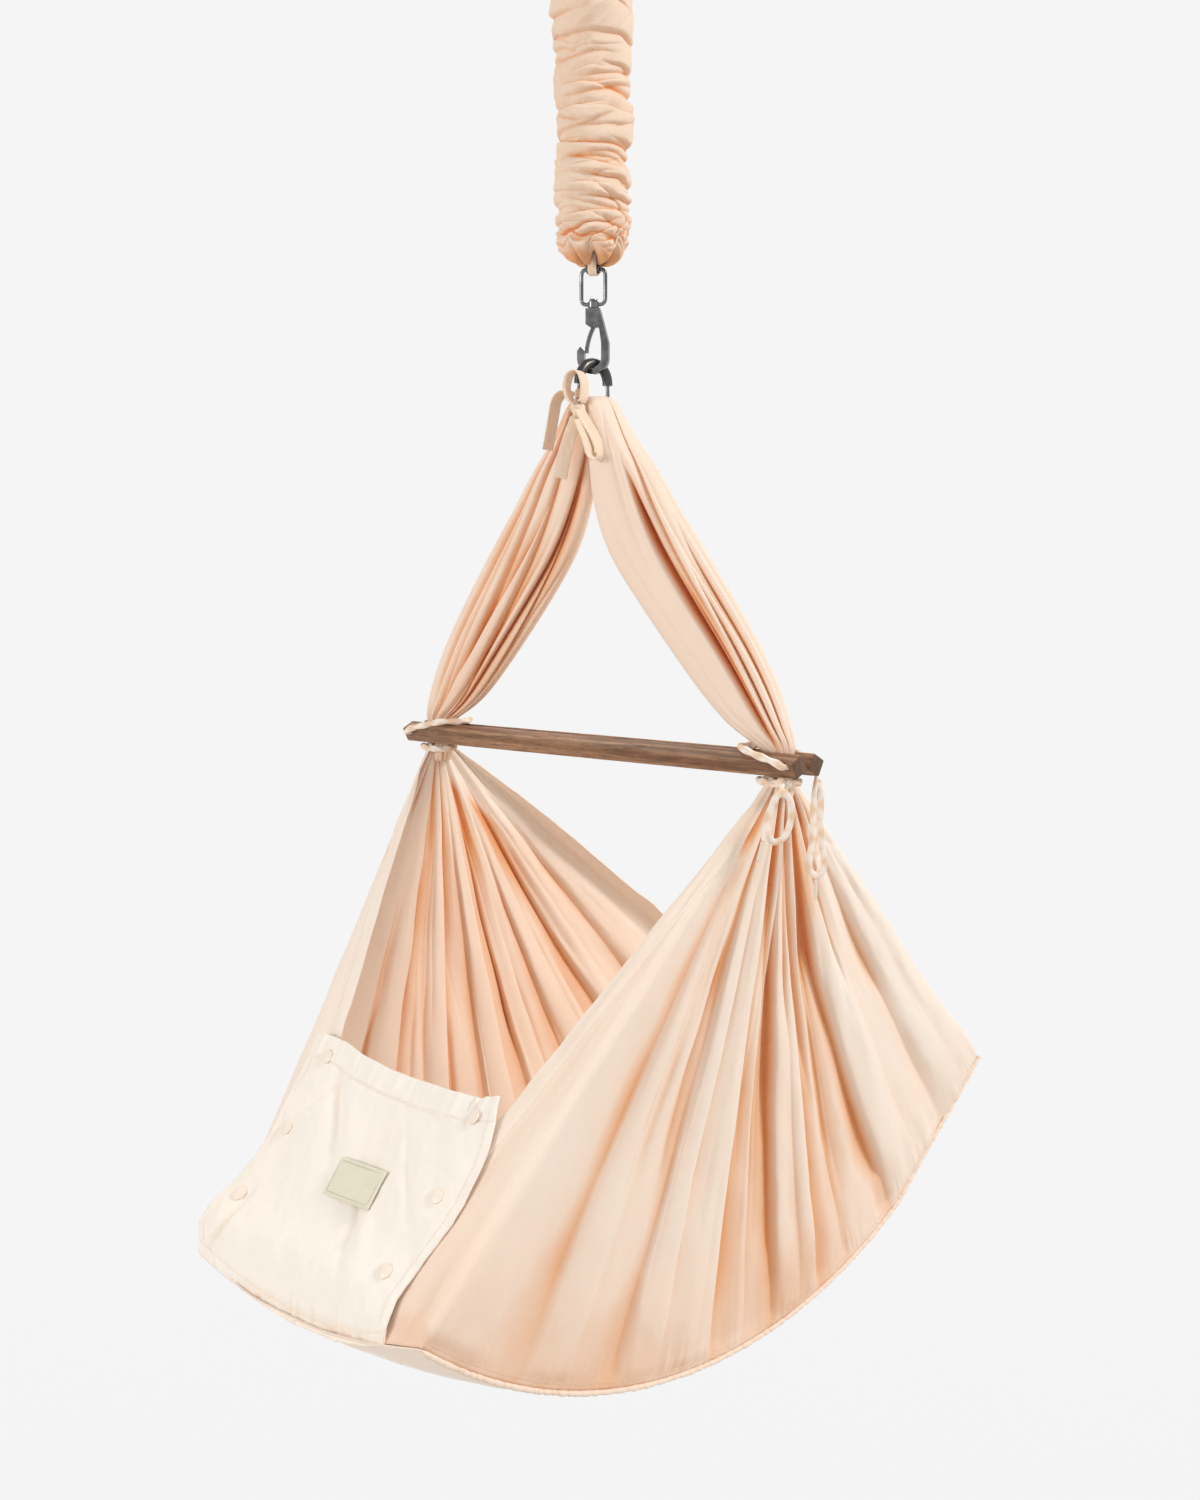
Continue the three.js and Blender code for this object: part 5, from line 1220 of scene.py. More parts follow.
# the snaps, as shares of the bed's half width and of the flap's length
SNAP_SHARES = {"left_1": (-0.793, 0.941), "left_2": (-0.828, 0.593), "left_3": (-0.897, 0.265),
               "right_1": (0.628, 0.877), "right_2": (0.641, 0.539), "right_3": (0.552, 0.201)}
SNAPS = {word: (HALF * across, SEAM - 204 * up) for word, (across, up) in SNAP_SHARES.items()}
# tucks at the lower edge: where across, and how high
TUCKS = ((-118, 2.4), (-96, 1.2), (-62, 0.9), (-6, 2.2), (4, 1.4), (52, 1.6), (60, 1.1), (92, 1.0))


def table(value, rows):
    return np.interp(value, *zip(*sorted(rows)))


def flap_places(up=190, across=220):
    """The flap's grid between its four edges: across the bed, and down from the bars."""
    t, s = np.linspace(0, 1, up)[:, None], np.linspace(0, 1, across)[None]
    r = 340 + 205 * t + 0 * s
    for _ in range(3):
        left, right = table(r, LEFT_EDGE), table(r, RIGHT_EDGE)
        x = left + (right - left) * s
        top, low = table(x, TOP_EDGE), table(x, LOW_EDGE)
        r = top + (low - top) * t
    return x, r


def flap_form(x, r):
    """The flap's broad form: how far it lies behind the bed's foot edge."""
    away = np.full(r.shape, FLAP_AWAY)
    # held down at the snaps and along the hems, and slack between them
    away = away - 1.2 + 2.6 * bell(x, 120, 12) + 1.0 * bell(x, -146, 14)
    for sx, sr in SNAPS.values():
        away = away + 1.5 * np.exp(-(((x - sx) / 17) ** 2 + ((r - sr) / 17) ** 2))
    # round the mattress's end, then tucked under it
    away = away - 6.5 * bell(r, 516, 30) * step(x, -170, -60) * (1 - step(x, 60, 125))
    away = away - 7.5 * bell(r, 512, 24) * bell(x, -150, 26)
    return away + 9.0 * step(r, 536, 561)


def flap_folds(x, r, away):
    """Adds the fold beside the bulging corner, soft slack folds, and tucks at the lower edge."""
    away = away + 8.0 * bell(x + 0.25 * (r - 500), -124, 4.5) * bell(r, 514, 24)
    away = away + 4.0 * bell(x - 0.55 * (r - 440) + 3 * np.sin(r / 14), -42, 8) * bell(r, 395, 42)
    away = away - 2.4 * bell(x - 0.55 * (r - 440), -20, 13) * bell(r, 405, 46)
    away = away + 3.6 * bell(x - 0.5 * (r - 480) + 3 * np.sin(r / 11), 20, 6) * bell(r, 478, 34)
    away = away - 2.2 * bell(x - 0.45 * (r - 480), 38, 10) * bell(r, 480, 30)
    away = away + 2.6 * bell(x + 0.9 * (r - 380), -95, 5) * bell(x, -100, 26)
    away = away + 2.0 * bell(x - 0.8 * (r - 410), 40, 6) * bell(x, 50, 30)
    away = away + 2.0 * rough(x / 55, r / 62, 401, 4) + 0.45 * rough(x / 16, r / 20, 411, 3)
    for at, size in TUCKS:
        away = away + size * bell(x + 0.12 * (r - 545), at, 2.6) * step(r, 522, 552)
    return away + 0.8 * np.sin(x / 3.1 + 2 * soft_noise(x / 14, r / 40, 421)) * step(r, 540, 556)


def flap_hems(x, r, away, from_top, from_low):
    """Adds the drawn top hem, and the sewn lines of all hems."""
    draw = (1 - step(from_top, 16, 26)) * (0.45 + 1.2 * bell(x, 86, 16) + 0.5 * bell(x, -128, 18))
    away = away + draw * 1.5 * (abs(np.sin(x / 5.2 + 1.6 * soft_noise(x / 11, r / 60, 431))) - 0.5)
    away = away + 3.0 * bell(x, 84, 1.8) * bell(from_top, 9, 9) + 2.2 * bell(x, 79, 1.5) * bell(from_top, 7, 7)
    side_gap = np.minimum(x - table(r, LEFT_EDGE), table(r, RIGHT_EDGE) - x)
    away = away + 0.9 * bell(from_top, 22, 1.0) + 0.8 * bell(from_low, 10, 1.0) + 0.5 * bell(side_gap, 8, 1.0)
    return away - 0.5 * (1 - step(from_top, 21, 23)) - 0.4 * (1 - step(side_gap, 7.5, 9))


flap_x, flap_r = flap_places()
from_top, from_low = flap_r - table(flap_x, TOP_EDGE), table(flap_x, LOW_EDGE) - flap_r
flap_away = flap_folds(flap_x, flap_r, flap_form(flap_x, flap_r))
flap_away = flap_hems(flap_x, flap_r, flap_away, from_top, from_low)
flap_away = np.minimum(flap_away, -2.6 + 10.0 * step(flap_r, 532, 556))
flap_away = flap_away - 1.2 * bell(flap_x, 110, 10) * bell(flap_r, 350, 16)
flap_points = polar(flap_x, flap_r, FOOT, flap_away)
# painted shade: deeper where the flap lies back, along its left edge and along its hems
tone = 0.02 + 0.30 * np.clip(flap_away + 5.6, 0, 3) / 3 + 0.12 * (1 - step(flap_x, -150, -80)) \
    + 0.15 * bell(from_top, 22, 1.6) + 0.15 * bell(from_low, 10, 1.4)
flap = cloth_piece("flap_cloth", flap_points, 2.2, CREAM, "foot_flap", tone)
stand_for(flap, "foot_flap")


def flap_spot(x, r):
    """The flap's outer surface at a place, and its normal."""
    rows, columns = flap_x.shape
    i, j = np.unravel_index(np.argmin((flap_x - x) ** 2 + (flap_r - r) ** 2), flap_x.shape)
    spot = flap_points[i, j]
    i, j = min(max(i, 2), rows - 3), min(max(j, 2), columns - 3)
    normal = np.cross(flap_points[i, j + 2] - flap_points[i, j - 2],
                      flap_points[i + 2, j] - flap_points[i - 2, j])
    normal /= np.linalg.norm(normal)
    return spot, normal * np.sign(np.dot(normal, polar(0, 0, FOOT, -1.0)))


def flap_line(places):
    return np.array([spot + normal * 1.25 for spot, normal in (flap_spot(x, r) for x, r in places)])


xs, rs = np.linspace(-140, 104, 150), np.linspace(352, 535, 110)
hems = [[(x, table(x, TOP_EDGE) + 21) for x in xs], [(x, table(x, LOW_EDGE) - 9) for x in xs],
        [(table(r, LEFT_EDGE) + 7, r) for r in rs], [(table(r, RIGHT_EDGE) - 7, r) for r in rs]]
stitches("flap_stitching", [flap_line(places) for places in hems], THREAD, "foot_flap", 3.4, 2.0, 0.2)

# Snaps: a domed cap with a rim, and its socket inside
CAP = [(0, 2.35), (1.6, 2.3), (3.4, 2.05), (4.9, 1.6), (5.6, 1.35), (6.0, 1.45), (6.45, 1.3), (6.7, 0.8),
       (6.6, 0.25), (6.2, 0.0), (2.4, 0.0), (2.3, -2.4), (4.6, -2.6), (4.6, -3.5), (0, -3.6)]
STUD = [(0, 0.5), (2.0, 0.5), (2.2, 0.2), (4.3, 0.1), (4.5, -0.1), (4.4, -0.5), (0, -0.5)]

for word, (sx, sr) in SNAPS.items():
    spot, normal = flap_spot(sx, sr)
    cap = turned_at(f"snap_{word}", CAP, spot + normal * 1.2, normal, RESIN, "foot_flap")
    stand_for(cap, f"snap_cap_{word}")
    place, outward = polar(sx, sr, FOOT, -1.9), polar(0, 0, FOOT, -1.0)
    stud = turned_at(f"stud_{word}", STUD, place, outward, RESIN, "cradle")
    stand_for(stud, f"snap_stud_{word}")

# ---------------------------------------------------------------- label patch

LABEL_R, LABEL_WIDE, LABEL_HIGH = 444, 30, 17  # its middle below the bars, and its half sizes
label_x, label_r = np.meshgrid(np.linspace(-LABEL_WIDE, LABEL_WIDE, 61),
                               np.linspace(-LABEL_HIGH, LABEL_HIGH, 37))
base = np.array([[flap_spot(x, LABEL_R + r)[0] for x, r in zip(a, b)]
                 for a, b in zip(label_x[::4, ::4], label_r[::4, ::4])])
label_away = float(np.min((base * polar(0, 0, FOOT, 1.0)).sum(-1))) - 1.9
gap = np.minimum(LABEL_WIDE - abs(label_x), LABEL_HIGH - abs(label_r))
# soft edges, and a pressed border
raised = 0.9 * np.clip(gap / 0.8, 0, 1) ** 0.5 - 0.25 * bell(gap, 2.6, 0.5) \
    + 0.25 * rough(label_x / 18, label_r / 18, 441, 3)
label = cloth_piece("label_bare", polar(label_x * 0.997, LABEL_R + label_r, FOOT, label_away - raised), 0.8,
                    HIDE, "foot_flap")
stand_for(label, "label_patch")
corners = [np.array(c) for c in ((-27, -14), (27, -14), (27, 14), (-27, 14))]
t = np.linspace(0, 1, 20)[:, None]
sides = [a * (1 - t) + b * t for a, b in zip(corners, corners[1:] + corners[:1])]
border = [polar(xy[:, 0], LABEL_R + xy[:, 1], FOOT, label_away - 1.25) for xy in sides]
LABEL_THREAD = braid("label_thread", srgb(206, 196, 176), srgb(170, 158, 136), 0.5)
stitches("label_stitching", border, LABEL_THREAD, "foot_flap", 2.4, 1.7, 0.26)

# ---------------------------------------------------------------- sling legs

RISE, LEG_DEPTH = 306.0, 21.0
# A leg from its top down to the bars: level, inner and outer edge and half depth, as shares
LEG = [
    (1.03, 0, 0.07, 0.57), (1.015, 0, 0.105, 0.7), (1, 0, 0.123, 0.79), (0.948, 0, 0.174, 0.84),
    (0.882, 0, 0.251, 0.88), (0.817, 0, 0.347, 0.95), (0.719, 0.023, 0.447, 1), (0.582, 0.091, 0.612, 1),
    (0.438, 0.265, 0.767, 0.98), (0.301, 0.443, 0.913, 0.95), (0.167, 0.63, 1.014, 0.88),
    (0.098, 0.744, 1.05, 0.76), (0.052, 0.868, 1.078, 0.43), (0.029, 0.922, 1.071, 0.24),
]
# Its gathered end at the bars: how far down, half width in millimetres, and half depth
LUMP = [(0, 14, 0.062), (0.22, 14, 0.08), (0.45, 15.5, 0.29), (0.68, 15.5, 0.43), (1, 14.2, 0.54),
        (1.25, 12.5, 0.5)]
# Creases on the side that faces the camera: place across the leg, depth, widths, drift down it,
# and where each starts and ends
LEG_CREASES = {
    "right": [(0.13, 0.10, 0.10, 0.05, 0.05, 0.3, 1.2), (0.31, 0.14, 0.03, 0.05, -0.06, 0.0, 0.5),
              (0.50, 1.05, 0.024, 0.060, -0.03, 0.22, 1.3), (0.58, 0.30, 0.022, 0.03, -0.02, 0.5, 1.3),
              (0.66, 0.40, 0.05, 0.020, -0.08, -0.2, 0.7), (0.72, 0.55, 0.020, 0.035, -0.05, 0.5, 1.3),
              (0.80, 0.22, 0.02, 0.06, 0.07, 0.05, 0.8), (0.87, 0.50, 0.04, 0.014, -0.03, 0.4, 1.3),
              (0.95, 0.20, 0.015, 0.03, 0.0, 0.0, 1.2)],
    "left": [(0.07, 0.42, 0.015, 0.04, 0.05, -0.2, 0.9), (0.17, 0.34, 0.04, 0.014, 0.10, 0.2, 1.2),
             (0.30, 0.50, 0.016, 0.05, 0.14, -0.2, 0.75), (0.38, 0.42, 0.06, 0.018, -0.10, 0.3, 1.3),
             (0.52, 0.55, 0.018, 0.07, 0.12, 0.05, 1.0), (0.63, 0.36, 0.045, 0.015, -0.09, 0.4, 1.3),
             (0.735, 0.95, 0.020, 0.06, -0.04, 0.12, 1.3), (0.84, 0.50, 0.016, 0.04, 0.06, 0.0, 0.8),
             (0.93, 0.30, 0.03, 0.015, -0.03, 0.4, 1.3)],
}


def leg_sections(count=260):
    """Level, inner x, outer x and half depth of a leg from its top down, as four columns."""
    rows = [(RISE * level, GATHER * a, GATHER * b, LEG_DEPTH * d) for level, a, b, d in LEG]
    rows += [(-22.6 * level, GATHER - half, GATHER + half, LEG_DEPTH * d) for level, half, d in LUMP]
    rows = np.array(rows)
    # rows closer together where the section changes fast
    at = np.linspace(0, len(rows) - 1, count)
    sections = np.stack([np.interp(at, np.arange(len(rows)), rows[:, k]) for k in range(4)], -1)
    eased = ease_columns(sections, 16, 6.0)
    eased[0], eased[-1] = sections[0], sections[-1]
    return [eased[:, k][:, None] for k in range(4)]


def leg_creases(word, share, facing, down, seed):
    """How deep in a crease each place on a leg lies."""
    fold = np.zeros(share.shape)
    for k, (place, size, low, high, drift, begin, finish) in enumerate(LEG_CREASES[word]):
        lasts = step(down, begin - 0.12, begin + 0.16) * (1 - step(down, finish - 0.16, finish + 0.12))
        wander = 0.018 * soft_noise(down * 3.2 + k * 5.1, down * 0, seed + k)
        grow = 0.75 + 0.25 * soft_noise(down * 2.3 + 9 * k, down * 0, seed + 30 + k)
        for face, extra, scale in ((facing, 0.0, 1.0), (~facing, 0.035 * math.sin(3.3 * k + 1), 0.85)):
            gap = share - (place + extra + drift * (down - 0.5) * 2 + wander)
            deep = size * scale * grow * lasts * np.exp(-(abs(gap) / np.where(gap < 0, low, high)) ** 1.25)
            fold = fold + np.where(face, deep, 0)
    return fold


def leg_shape(side, word, seed):
    """A leg's points, and how deep in a crease each lies."""
    level, inner, outer, depth = leg_sections()
    phi = np.linspace(-np.pi, np.pi, 440, endpoint=False)[None]
    half, centre = (outer - inner) / 2, (outer + inner) / 2
    # the view's left-to-right share of the near face, for this ellipse
    seen = phi - side * np.arctan2(depth, half)
    share, facing = (1 + side * np.cos(seen)) / 2, np.sin(seen) < 0
    down = 1 - level / RISE
    fold = leg_creases(word, share, facing, down, seed)
    fine = 0.022 * rough(share * 7 + facing * 31.0, down * 2.6, seed + 50, 2)
    open_part = step(level, 4, 40) * (1 - 0.55 * step(level, 285, 312))
    gathered = 1 - step(abs(level - 2), 6, 60)
    pleat = 0.10 * gathered * abs(np.sin(phi * 7 + 2 * soft_noise(phi * 2, down * 6, seed + 70)))
    crease = 1 - fold * (0.55 + 0.45 * open_part) * step(depth, 3, 12) + fine * open_part - pleat
    crease = np.clip(crease, 0.2, 1.1)
    x = np.maximum(centre + half * np.cos(phi) * (1 - (1 - crease) * 0.35), inner)
    twist = 0.9 * soft_noise(down * 2.5, down * 0, seed + 90)
    y = depth * np.sin(phi) * crease * 1.04 + twist * open_part
    points = np.stack([side * x, y, level + 0 * phi + 0.6 * fine * 30 * (level > 300)], -1)
    return points, np.clip(fold * 2.1 - 0.12, 0, 1) * (0.6 + 0.4 * open_part)


def sling_leg(word, side, seed, base):
    points, deep = leg_shape(side, word, seed)
    # painted shade in the creases, and where the leg turns from the lamps
    tone = base + (1 - base) * deep
    outward = points - points.mean(1, keepdims=True)
    tone = tone + (0.9 - np.minimum(tone, 0.9)) * 0.38 * painted_lamp_shade(points, outward, True)
    rows, around = points.shape[:2]
    faces = grid_faces(rows, around, True).tolist() + end_faces(rows, around)
    mesh = mesh_of(f"{word}_sling", points, faces, lengths_uv(points), tone, BAR)
    leg = new_object(f"{word}_sling", mesh, PEACH, "cradle")
    mend(mesh)
    stand_for(leg, f"{word}_leg")


# the left leg's deeper base tone is painted shade
sling_leg("left", -1, 503, 0.50)
sling_leg("right", 1, 541, 0.40)

# ---------------------------------------------------------------- bars

BAR_APART = 11  # each bar's middle, fore and aft
SQUARE = rounded([(-7.5, -7.5), (7.5, -7.5), (7.5, 7.5), (-7.5, 7.5)], 1.5, 6)
# a bar's softened ends: how far out, and the section's size there
BAR_ENDS = [(250, 0.93), (249.85, 0.955), (249.5, 0.975), (249, 0.99), (248.3, 1)]


def spreader_bar(name, node, side):
    stations = [(-x, k) for x, k in BAR_ENDS] + [(x, 1) for x in np.linspace(-240, 240, 60)] + BAR_ENDS[::-1]
    c, s = math.cos(-side * rad(28)), math.sin(-side * rad(28))
    rings = []
    for x, k in stations:
        wear = 1 + 0.004 * math.sin(x * 0.11 + side) + 0.003 * math.sin(x * 0.37)
        y, z = SQUARE[:, 0] * k * wear, SQUARE[:, 1] * k * wear
        rings.append(np.stack([np.full(len(SQUARE), x), y * c - z * s + side * BAR_APART, y * s + z * c], -1))
    stick = new_object(name, rings_mesh(name, rings, level=BAR), WOOD)
    mend(stick.data)
    for end in (-1, 1):
        line = [(end * HOLE, side * BAR_APART + y, 0.0) for y in (-16, 16)]
        cutter = rings_mesh("hole", swept(line, circle(3.5, 32)), level=BAR)
        mend(cutter)
        cut(stick, cutter)
    smooth_shading(stick.data)
    split_sharp(stick, 40)
    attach(stick, "cradle")
    stand_for(stick, node)


spreader_bar("near_stick", "near_bar", -1)
spreader_bar("far_stick", "far_bar", 1)

# ---------------------------------------------------------------- cords at the bars

CORD_R = 2.9
INNER, OVER, FRONT = 185.1, 12.7, 24.6  # how far in, up and forward the lashings reach
MID = (HOLE + INNER) / 2
LASH = [
    (HOLE, 0, 0), (HOLE, -FRONT * 0.55, 0), (HOLE, -FRONT * 0.92, 0), (HOLE - CORD_R * 2, -FRONT, OVER * 0.25),
    (MID, -FRONT * 0.96, OVER * 0.66), (INNER + CORD_R * 2.5, -FRONT * 0.72, OVER),
    (INNER, -FRONT * 0.36, OVER), (INNER - CORD_R / 2, 0, OVER * 0.96), (INNER, FRONT * 0.36, OVER),
    (INNER + CORD_R * 2.5, FRONT * 0.72, OVER), (MID, FRONT * 0.96, OVER * 0.66),
    (HOLE - CORD_R * 2, FRONT, OVER * 0.25), (HOLE, FRONT * 0.92, 0), (HOLE, FRONT * 0.55, 0),
]


def cord_loop(name, node, line, turns):
    loop = rope(name, line, CORD_R, CORD, "cradle", True, 32, turns=turns, fatness=0.16)
    stand_for(loop, node)


for word, side in (("left", -1), ("right", 1)):
    lash = smooth_line([(side * x, y, z) for x, y, z in LASH], 260, True)
    cord_loop(f"{word}_tie_over", f"{word}_lashing", lash, 5)
    a = np.linspace(0, 2 * np.pi, 180, endpoint=False)
    half_x, half_y = 15.5 + 0.5 + CORD_R, LEG_DEPTH * 0.43 + 0.5 + CORD_R
    bind = np.stack([side * GATHER + half_x * np.cos(a), half_y * np.sin(a), -15.4 + 0.5 * np.sin(2 * a)], -1)
    cord_loop(f"{word}_tie_round", f"{word}_binding", bind, 4)


def knot_piece(name, node, centre, size, strand, material):
    """A cord drawn into a small tight knot."""
    t = np.linspace(0, 2 * np.pi, 160, endpoint=False)
    curve = np.stack([np.sin(t) + 2 * np.sin(2 * t), -1.3 * np.sin(3 * t), np.cos(t) - 2 * np.cos(2 * t)], -1)
    low, high = curve.min(0), curve.max(0)
    curve = (curve - (high + low) / 2) / (high - low) * (np.array(size) - 2 * strand)
    stand_for(rope(name, turned(curve, rad(45)) + centre, strand, material, "cradle", True, 14), node)


low, high = np.array(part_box("tie_knot"))
side_knot = (low + high) / 2 / MM - np.array([0, 0, BAR])
knot_piece("side_knot", "tie_knot", side_knot, (13, 9.5, 12), 2.5, CORD)

# ---------------------------------------------------------------- bow on the ring

BOW_UP = [(8, -23.1, 309.2), (9.7, -22.3, 312.6), (10.7, -22.1, 319), (10.7, -22.9, 328), (8.9, -25.3, 334),
          (5.9, -28.5, 336), (2.3, -31.7, 333), (0, -33.4, 325), (0, -32.5, 317), (1.4, -30.3, 312),
          (3.1, -28, 309.2)]
BOW_SIDE = [(9.7, -27.4, 303), (13.1, -26.5, 297), (19.8, -25.5, 288), (27.2, -24.3, 277),
            (31.3, -23.3, 267), (31.5, -25.9, 260), (28.6, -30.5, 262), (26.2, -31.8, 269),
            (22.6, -31.7, 277), (17.7, -31.8, 286), (14, -32.1, 293)]
BOW_LEFT = [(-4, -19.9, 316), (-8.1, -23.1, 318.5), (-12.6, -27, 317.5), (-16.3, -30.4, 311),
            (-18.2, -31.8, 301), (-19.9, -33, 289), (-21.9, -34.1, 277), (-23.6, -34.9, 268)]
BOW_FRONT = [(2.6, -24.5, 295.9), (1.6, -25.6, 291), (-1.1, -27.7, 282), (-4.5, -29.4, 270),
             (-8.4, -30.5, 257), (-11.9, -31.4, 243)]
RIBBON = 12.0


def ribbon(name, node, route, turn, widths=(RIBBON, RIBBON)):
    """A sewn cotton tape with a slight dish, and its width at both ends."""
    line = smooth_line(route, 90)
    run, v = np.linspace(0, 1, 90)[:, None], np.linspace(-1, 1, 13)[None]
    wide = np.interp(run, [0, 1], widths) / 2
    lift = 0.9 * (1 - v**2) * (0.6 + 0.4 * np.sin(run * 9))
    outline = np.stack([v * wide, lift + 0.25 * rough(run * 9, v * 2, 601)], -1)
    points = swept(line, outline, across=np.array([math.cos(turn), math.sin(turn), 0.0]))
    tone = 0.08 + 0.15 * (1 - abs(v)) ** 2 * np.ones((90, 1))
    obj = cloth_piece(name, points, 1.1, TAPE, "cradle", tone)
    stand_for(obj, node)


ribbon("bow_upright", "bow_loop_up", BOW_UP, rad(-80))
ribbon("bow_sideways", "bow_loop_side", BOW_SIDE, rad(-95))
ribbon("bow_end_left", "bow_tail_left", BOW_LEFT, rad(-95))
ribbon("bow_end_front", "bow_tail_front", BOW_FRONT, rad(45), (10.5, 13.5))
knot_piece("bow_centre", "bow_knot", np.array([3.6, -23.4, 302.5]), (13.5, 10, 13), 3.1, TAPE)
turns = np.linspace(0, 3 * 2 * np.pi, 150)
line = np.stack([3.1 * np.cos(turns), -18 + 3.1 * np.sin(turns), 313.6 + turns / turns[-1] * 7.2], -1)
outline = np.array([(-1.5, -0.6), (-1.0, 0.6), (0, 0.85), (1.0, 0.6), (1.5, -0.6), (0, -0.8)])
rings = swept(line, outline, across=np.array([0, 0, 1.0]))
mesh = rings_mesh("bow_wrap", rings, level=BAR, fold=np.full((150, 6), 0.3))
stand_for(new_object("bow_wrap", mesh, TAPE, "cradle"), "tie_wrap")

# ---------------------------------------------------------------- hanging train

EYE_CENTRE, EYE_LOOP = -29.0, 13
LINK_ARC = 10.0
COIL_RADIUS, COIL_LENGTH, COIL_TURNS, SPRING_EYE = 13.5, 170, 20.125, 9
EYE_SEAT = EYE_CENTRE - EYE_LOOP
LINK_TOP = EYE_SEAT + 6.3
LINK_LOW = LINK_TOP - 50
SPRING_TOP = LINK_LOW + 3 + 0.5 + 2.3
SPRING_LOW = SPRING_TOP - COIL_LENGTH - 56
BAIL_TOP = SPRING_LOW - 27
BAIL_LOW = BAIL_TOP - 31
HOOK_TOP = BAIL_LOW - 3.3
HOOK_SEAT = HOOK_TOP - 52
RING_TOP = HOOK_SEAT + 0.3 + 4.6 - 1.2
RING_LOW = RING_TOP - 51
HOOK_TURN = rad(30)


def wire(name, node, line, radius, body, sides, closed=False, dark=False):
    """A bent steel wire or tube. One with open ends keeps them sharp, except for the spring."""
    obj = rope(name, line, radius, DARK if dark else STEEL, body, closed, sides, 0)
    if body and not closed:
        split_sharp(obj, 50)
    stand_for(obj, node)
    return obj


def arch(radius, middle, start, stop, count):
    """Points of an arc that stands across the cradle, fore and aft."""
    return [(0, radius * math.cos(t), middle + radius * math.sin(t)) for t in np.linspace(start, stop, count)]


# Ceiling plate and eye
softened_copy("ceiling_disc", "ceiling_plate", 0.5, "ceiling_fitting")
a = np.linspace(0, 2 * np.pi, 96, endpoint=False)
loop = np.stack([EYE_LOOP * np.sin(a), 0 * a, EYE_CENTRE + EYE_LOOP * np.cos(a)], -1)
wire("ceiling_loop", "ceiling_eye", loop, 3, "ceiling_fitting", 24, True)
STEM = [(0, -2.4), (3.5, -2.4), (3.6, -2.6), (3.6, -14.6), (4.4, -16.4), (3.6, -19.5), (0, -20)]
lathe("ceiling_stem", STEM, STEEL, "ceiling_fitting", 40)

# Screw link
link_end = LINK_TOP - LINK_ARC - 2 - 2
points = [(0, LINK_ARC, link_end - 8)]
points += [(0, LINK_ARC * math.cos(t), LINK_LOW + LINK_ARC - LINK_ARC * math.sin(t))
           for t in np.linspace(0, np.pi, 25)]
points += [(0, -LINK_ARC * math.cos(t), LINK_TOP - LINK_ARC + LINK_ARC * math.sin(t))
           for t in np.linspace(0, np.pi, 25)]
points.append((0, LINK_ARC, link_end))
wire("screw_link_wire", "screw_link", smooth_line(points, 240), 3, "link", 24)
softened_copy("screw_link_sleeve", "screw_link_nut", 0.45, "link_nut")


def spring_line():
    """The spring's wire: its upper hook, its coil, and its lower hook, which is turned with the snap hook."""
    coil_top = SPRING_TOP - 28
    upper, lower = SPRING_TOP - SPRING_EYE, SPRING_LOW + SPRING_EYE
    points = [(SPRING_EYE * math.cos(t * math.pi), 0, upper + SPRING_EYE * math.sin(t * math.pi))
              for t in np.linspace(-0.25, 1, 24)]
    points.append((-COIL_RADIUS * 0.86, 0, coil_top + 4.6))
    steps = 20 * 36 + 4
    for i in range(1, steps + 1):
        t = math.pi + 2 * math.pi * i * COIL_TURNS / steps
        points.append((COIL_RADIUS * math.cos(t), COIL_RADIUS * math.sin(t),
                       coil_top - COIL_LENGTH * i / steps))
    x, y, _ = points[-1]
    points.append((x * 0.86, y * 0.86, SPRING_LOW + 28 - 4.6))
    for t in np.linspace(1, 2.25, 24):
        side = SPRING_EYE * math.cos(t * math.pi)
        points.append((side * math.cos(HOOK_TURN), side * math.sin(HOOK_TURN),
                       lower + SPRING_EYE * math.sin(t * math.pi)))
    return points


spring = wire("spring_coil", "extension_spring", smooth_line(spring_line(), 1500), 2.3, None, 12)
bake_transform(spring)

# ---------------------------------------------------------------- spring sleeve

SLEEVE_TOP, SLEEVE_LOW = SPRING_TOP + 8, SPRING_LOW - 18
CREASES, CROWDED = 90, 16  # all creases, and those that are crowded at the lower end


def sleeve_creases(z, a, v):
    """How far the sleeve is drawn in, and how deep in a crease each place lies."""
    pick = np.random.default_rng(823)
    drawn = line = np.zeros((z + a).shape)
    for k in range(CREASES):
        crowded = k >= CREASES - CROWDED
        place = pick.uniform(0.84, 0.97) if crowded else 0.03 + 0.94 * pick.random() ** 0.62
        start = SLEEVE_TOP + (SLEEVE_LOW - SLEEVE_TOP) * place
        angle, reach = pick.uniform(0, 2 * np.pi), pick.uniform(0.45, 1.5)
        slope = pick.uniform(-0.34, 0.34) * (2.6 if crowded else 1.15 - 0.75 * place)
        depth = pick.uniform(2.0, 8.5) * (0.8 + 0.35 * place)
        sharp, soft = pick.uniform(0.7, 1.5), pick.uniform(3.5, 9.0) * (1.35 - 0.8 * place)
        turn = (a - angle + np.pi) % (2 * np.pi) - np.pi
        gap = z - (start + 32 * slope * turn + 2.2 * soft_noise(turn * 1.7 + k * 3.7, v * 0, 750))
        width = np.where(gap < 0, soft, sharp) if pick.random() < 0.7 else np.where(gap < 0, sharp, soft)
        window = np.exp(-((turn / reach) ** 4))
        drawn = drawn + depth * window * np.exp(-(abs(gap) / width) ** 1.2)
        line = line + depth * window * np.exp(-(abs(gap) / (0.3 * width + 0.5)) ** 1.4)
    return 10.0 * (1 - np.exp(-drawn / 10.0)), line


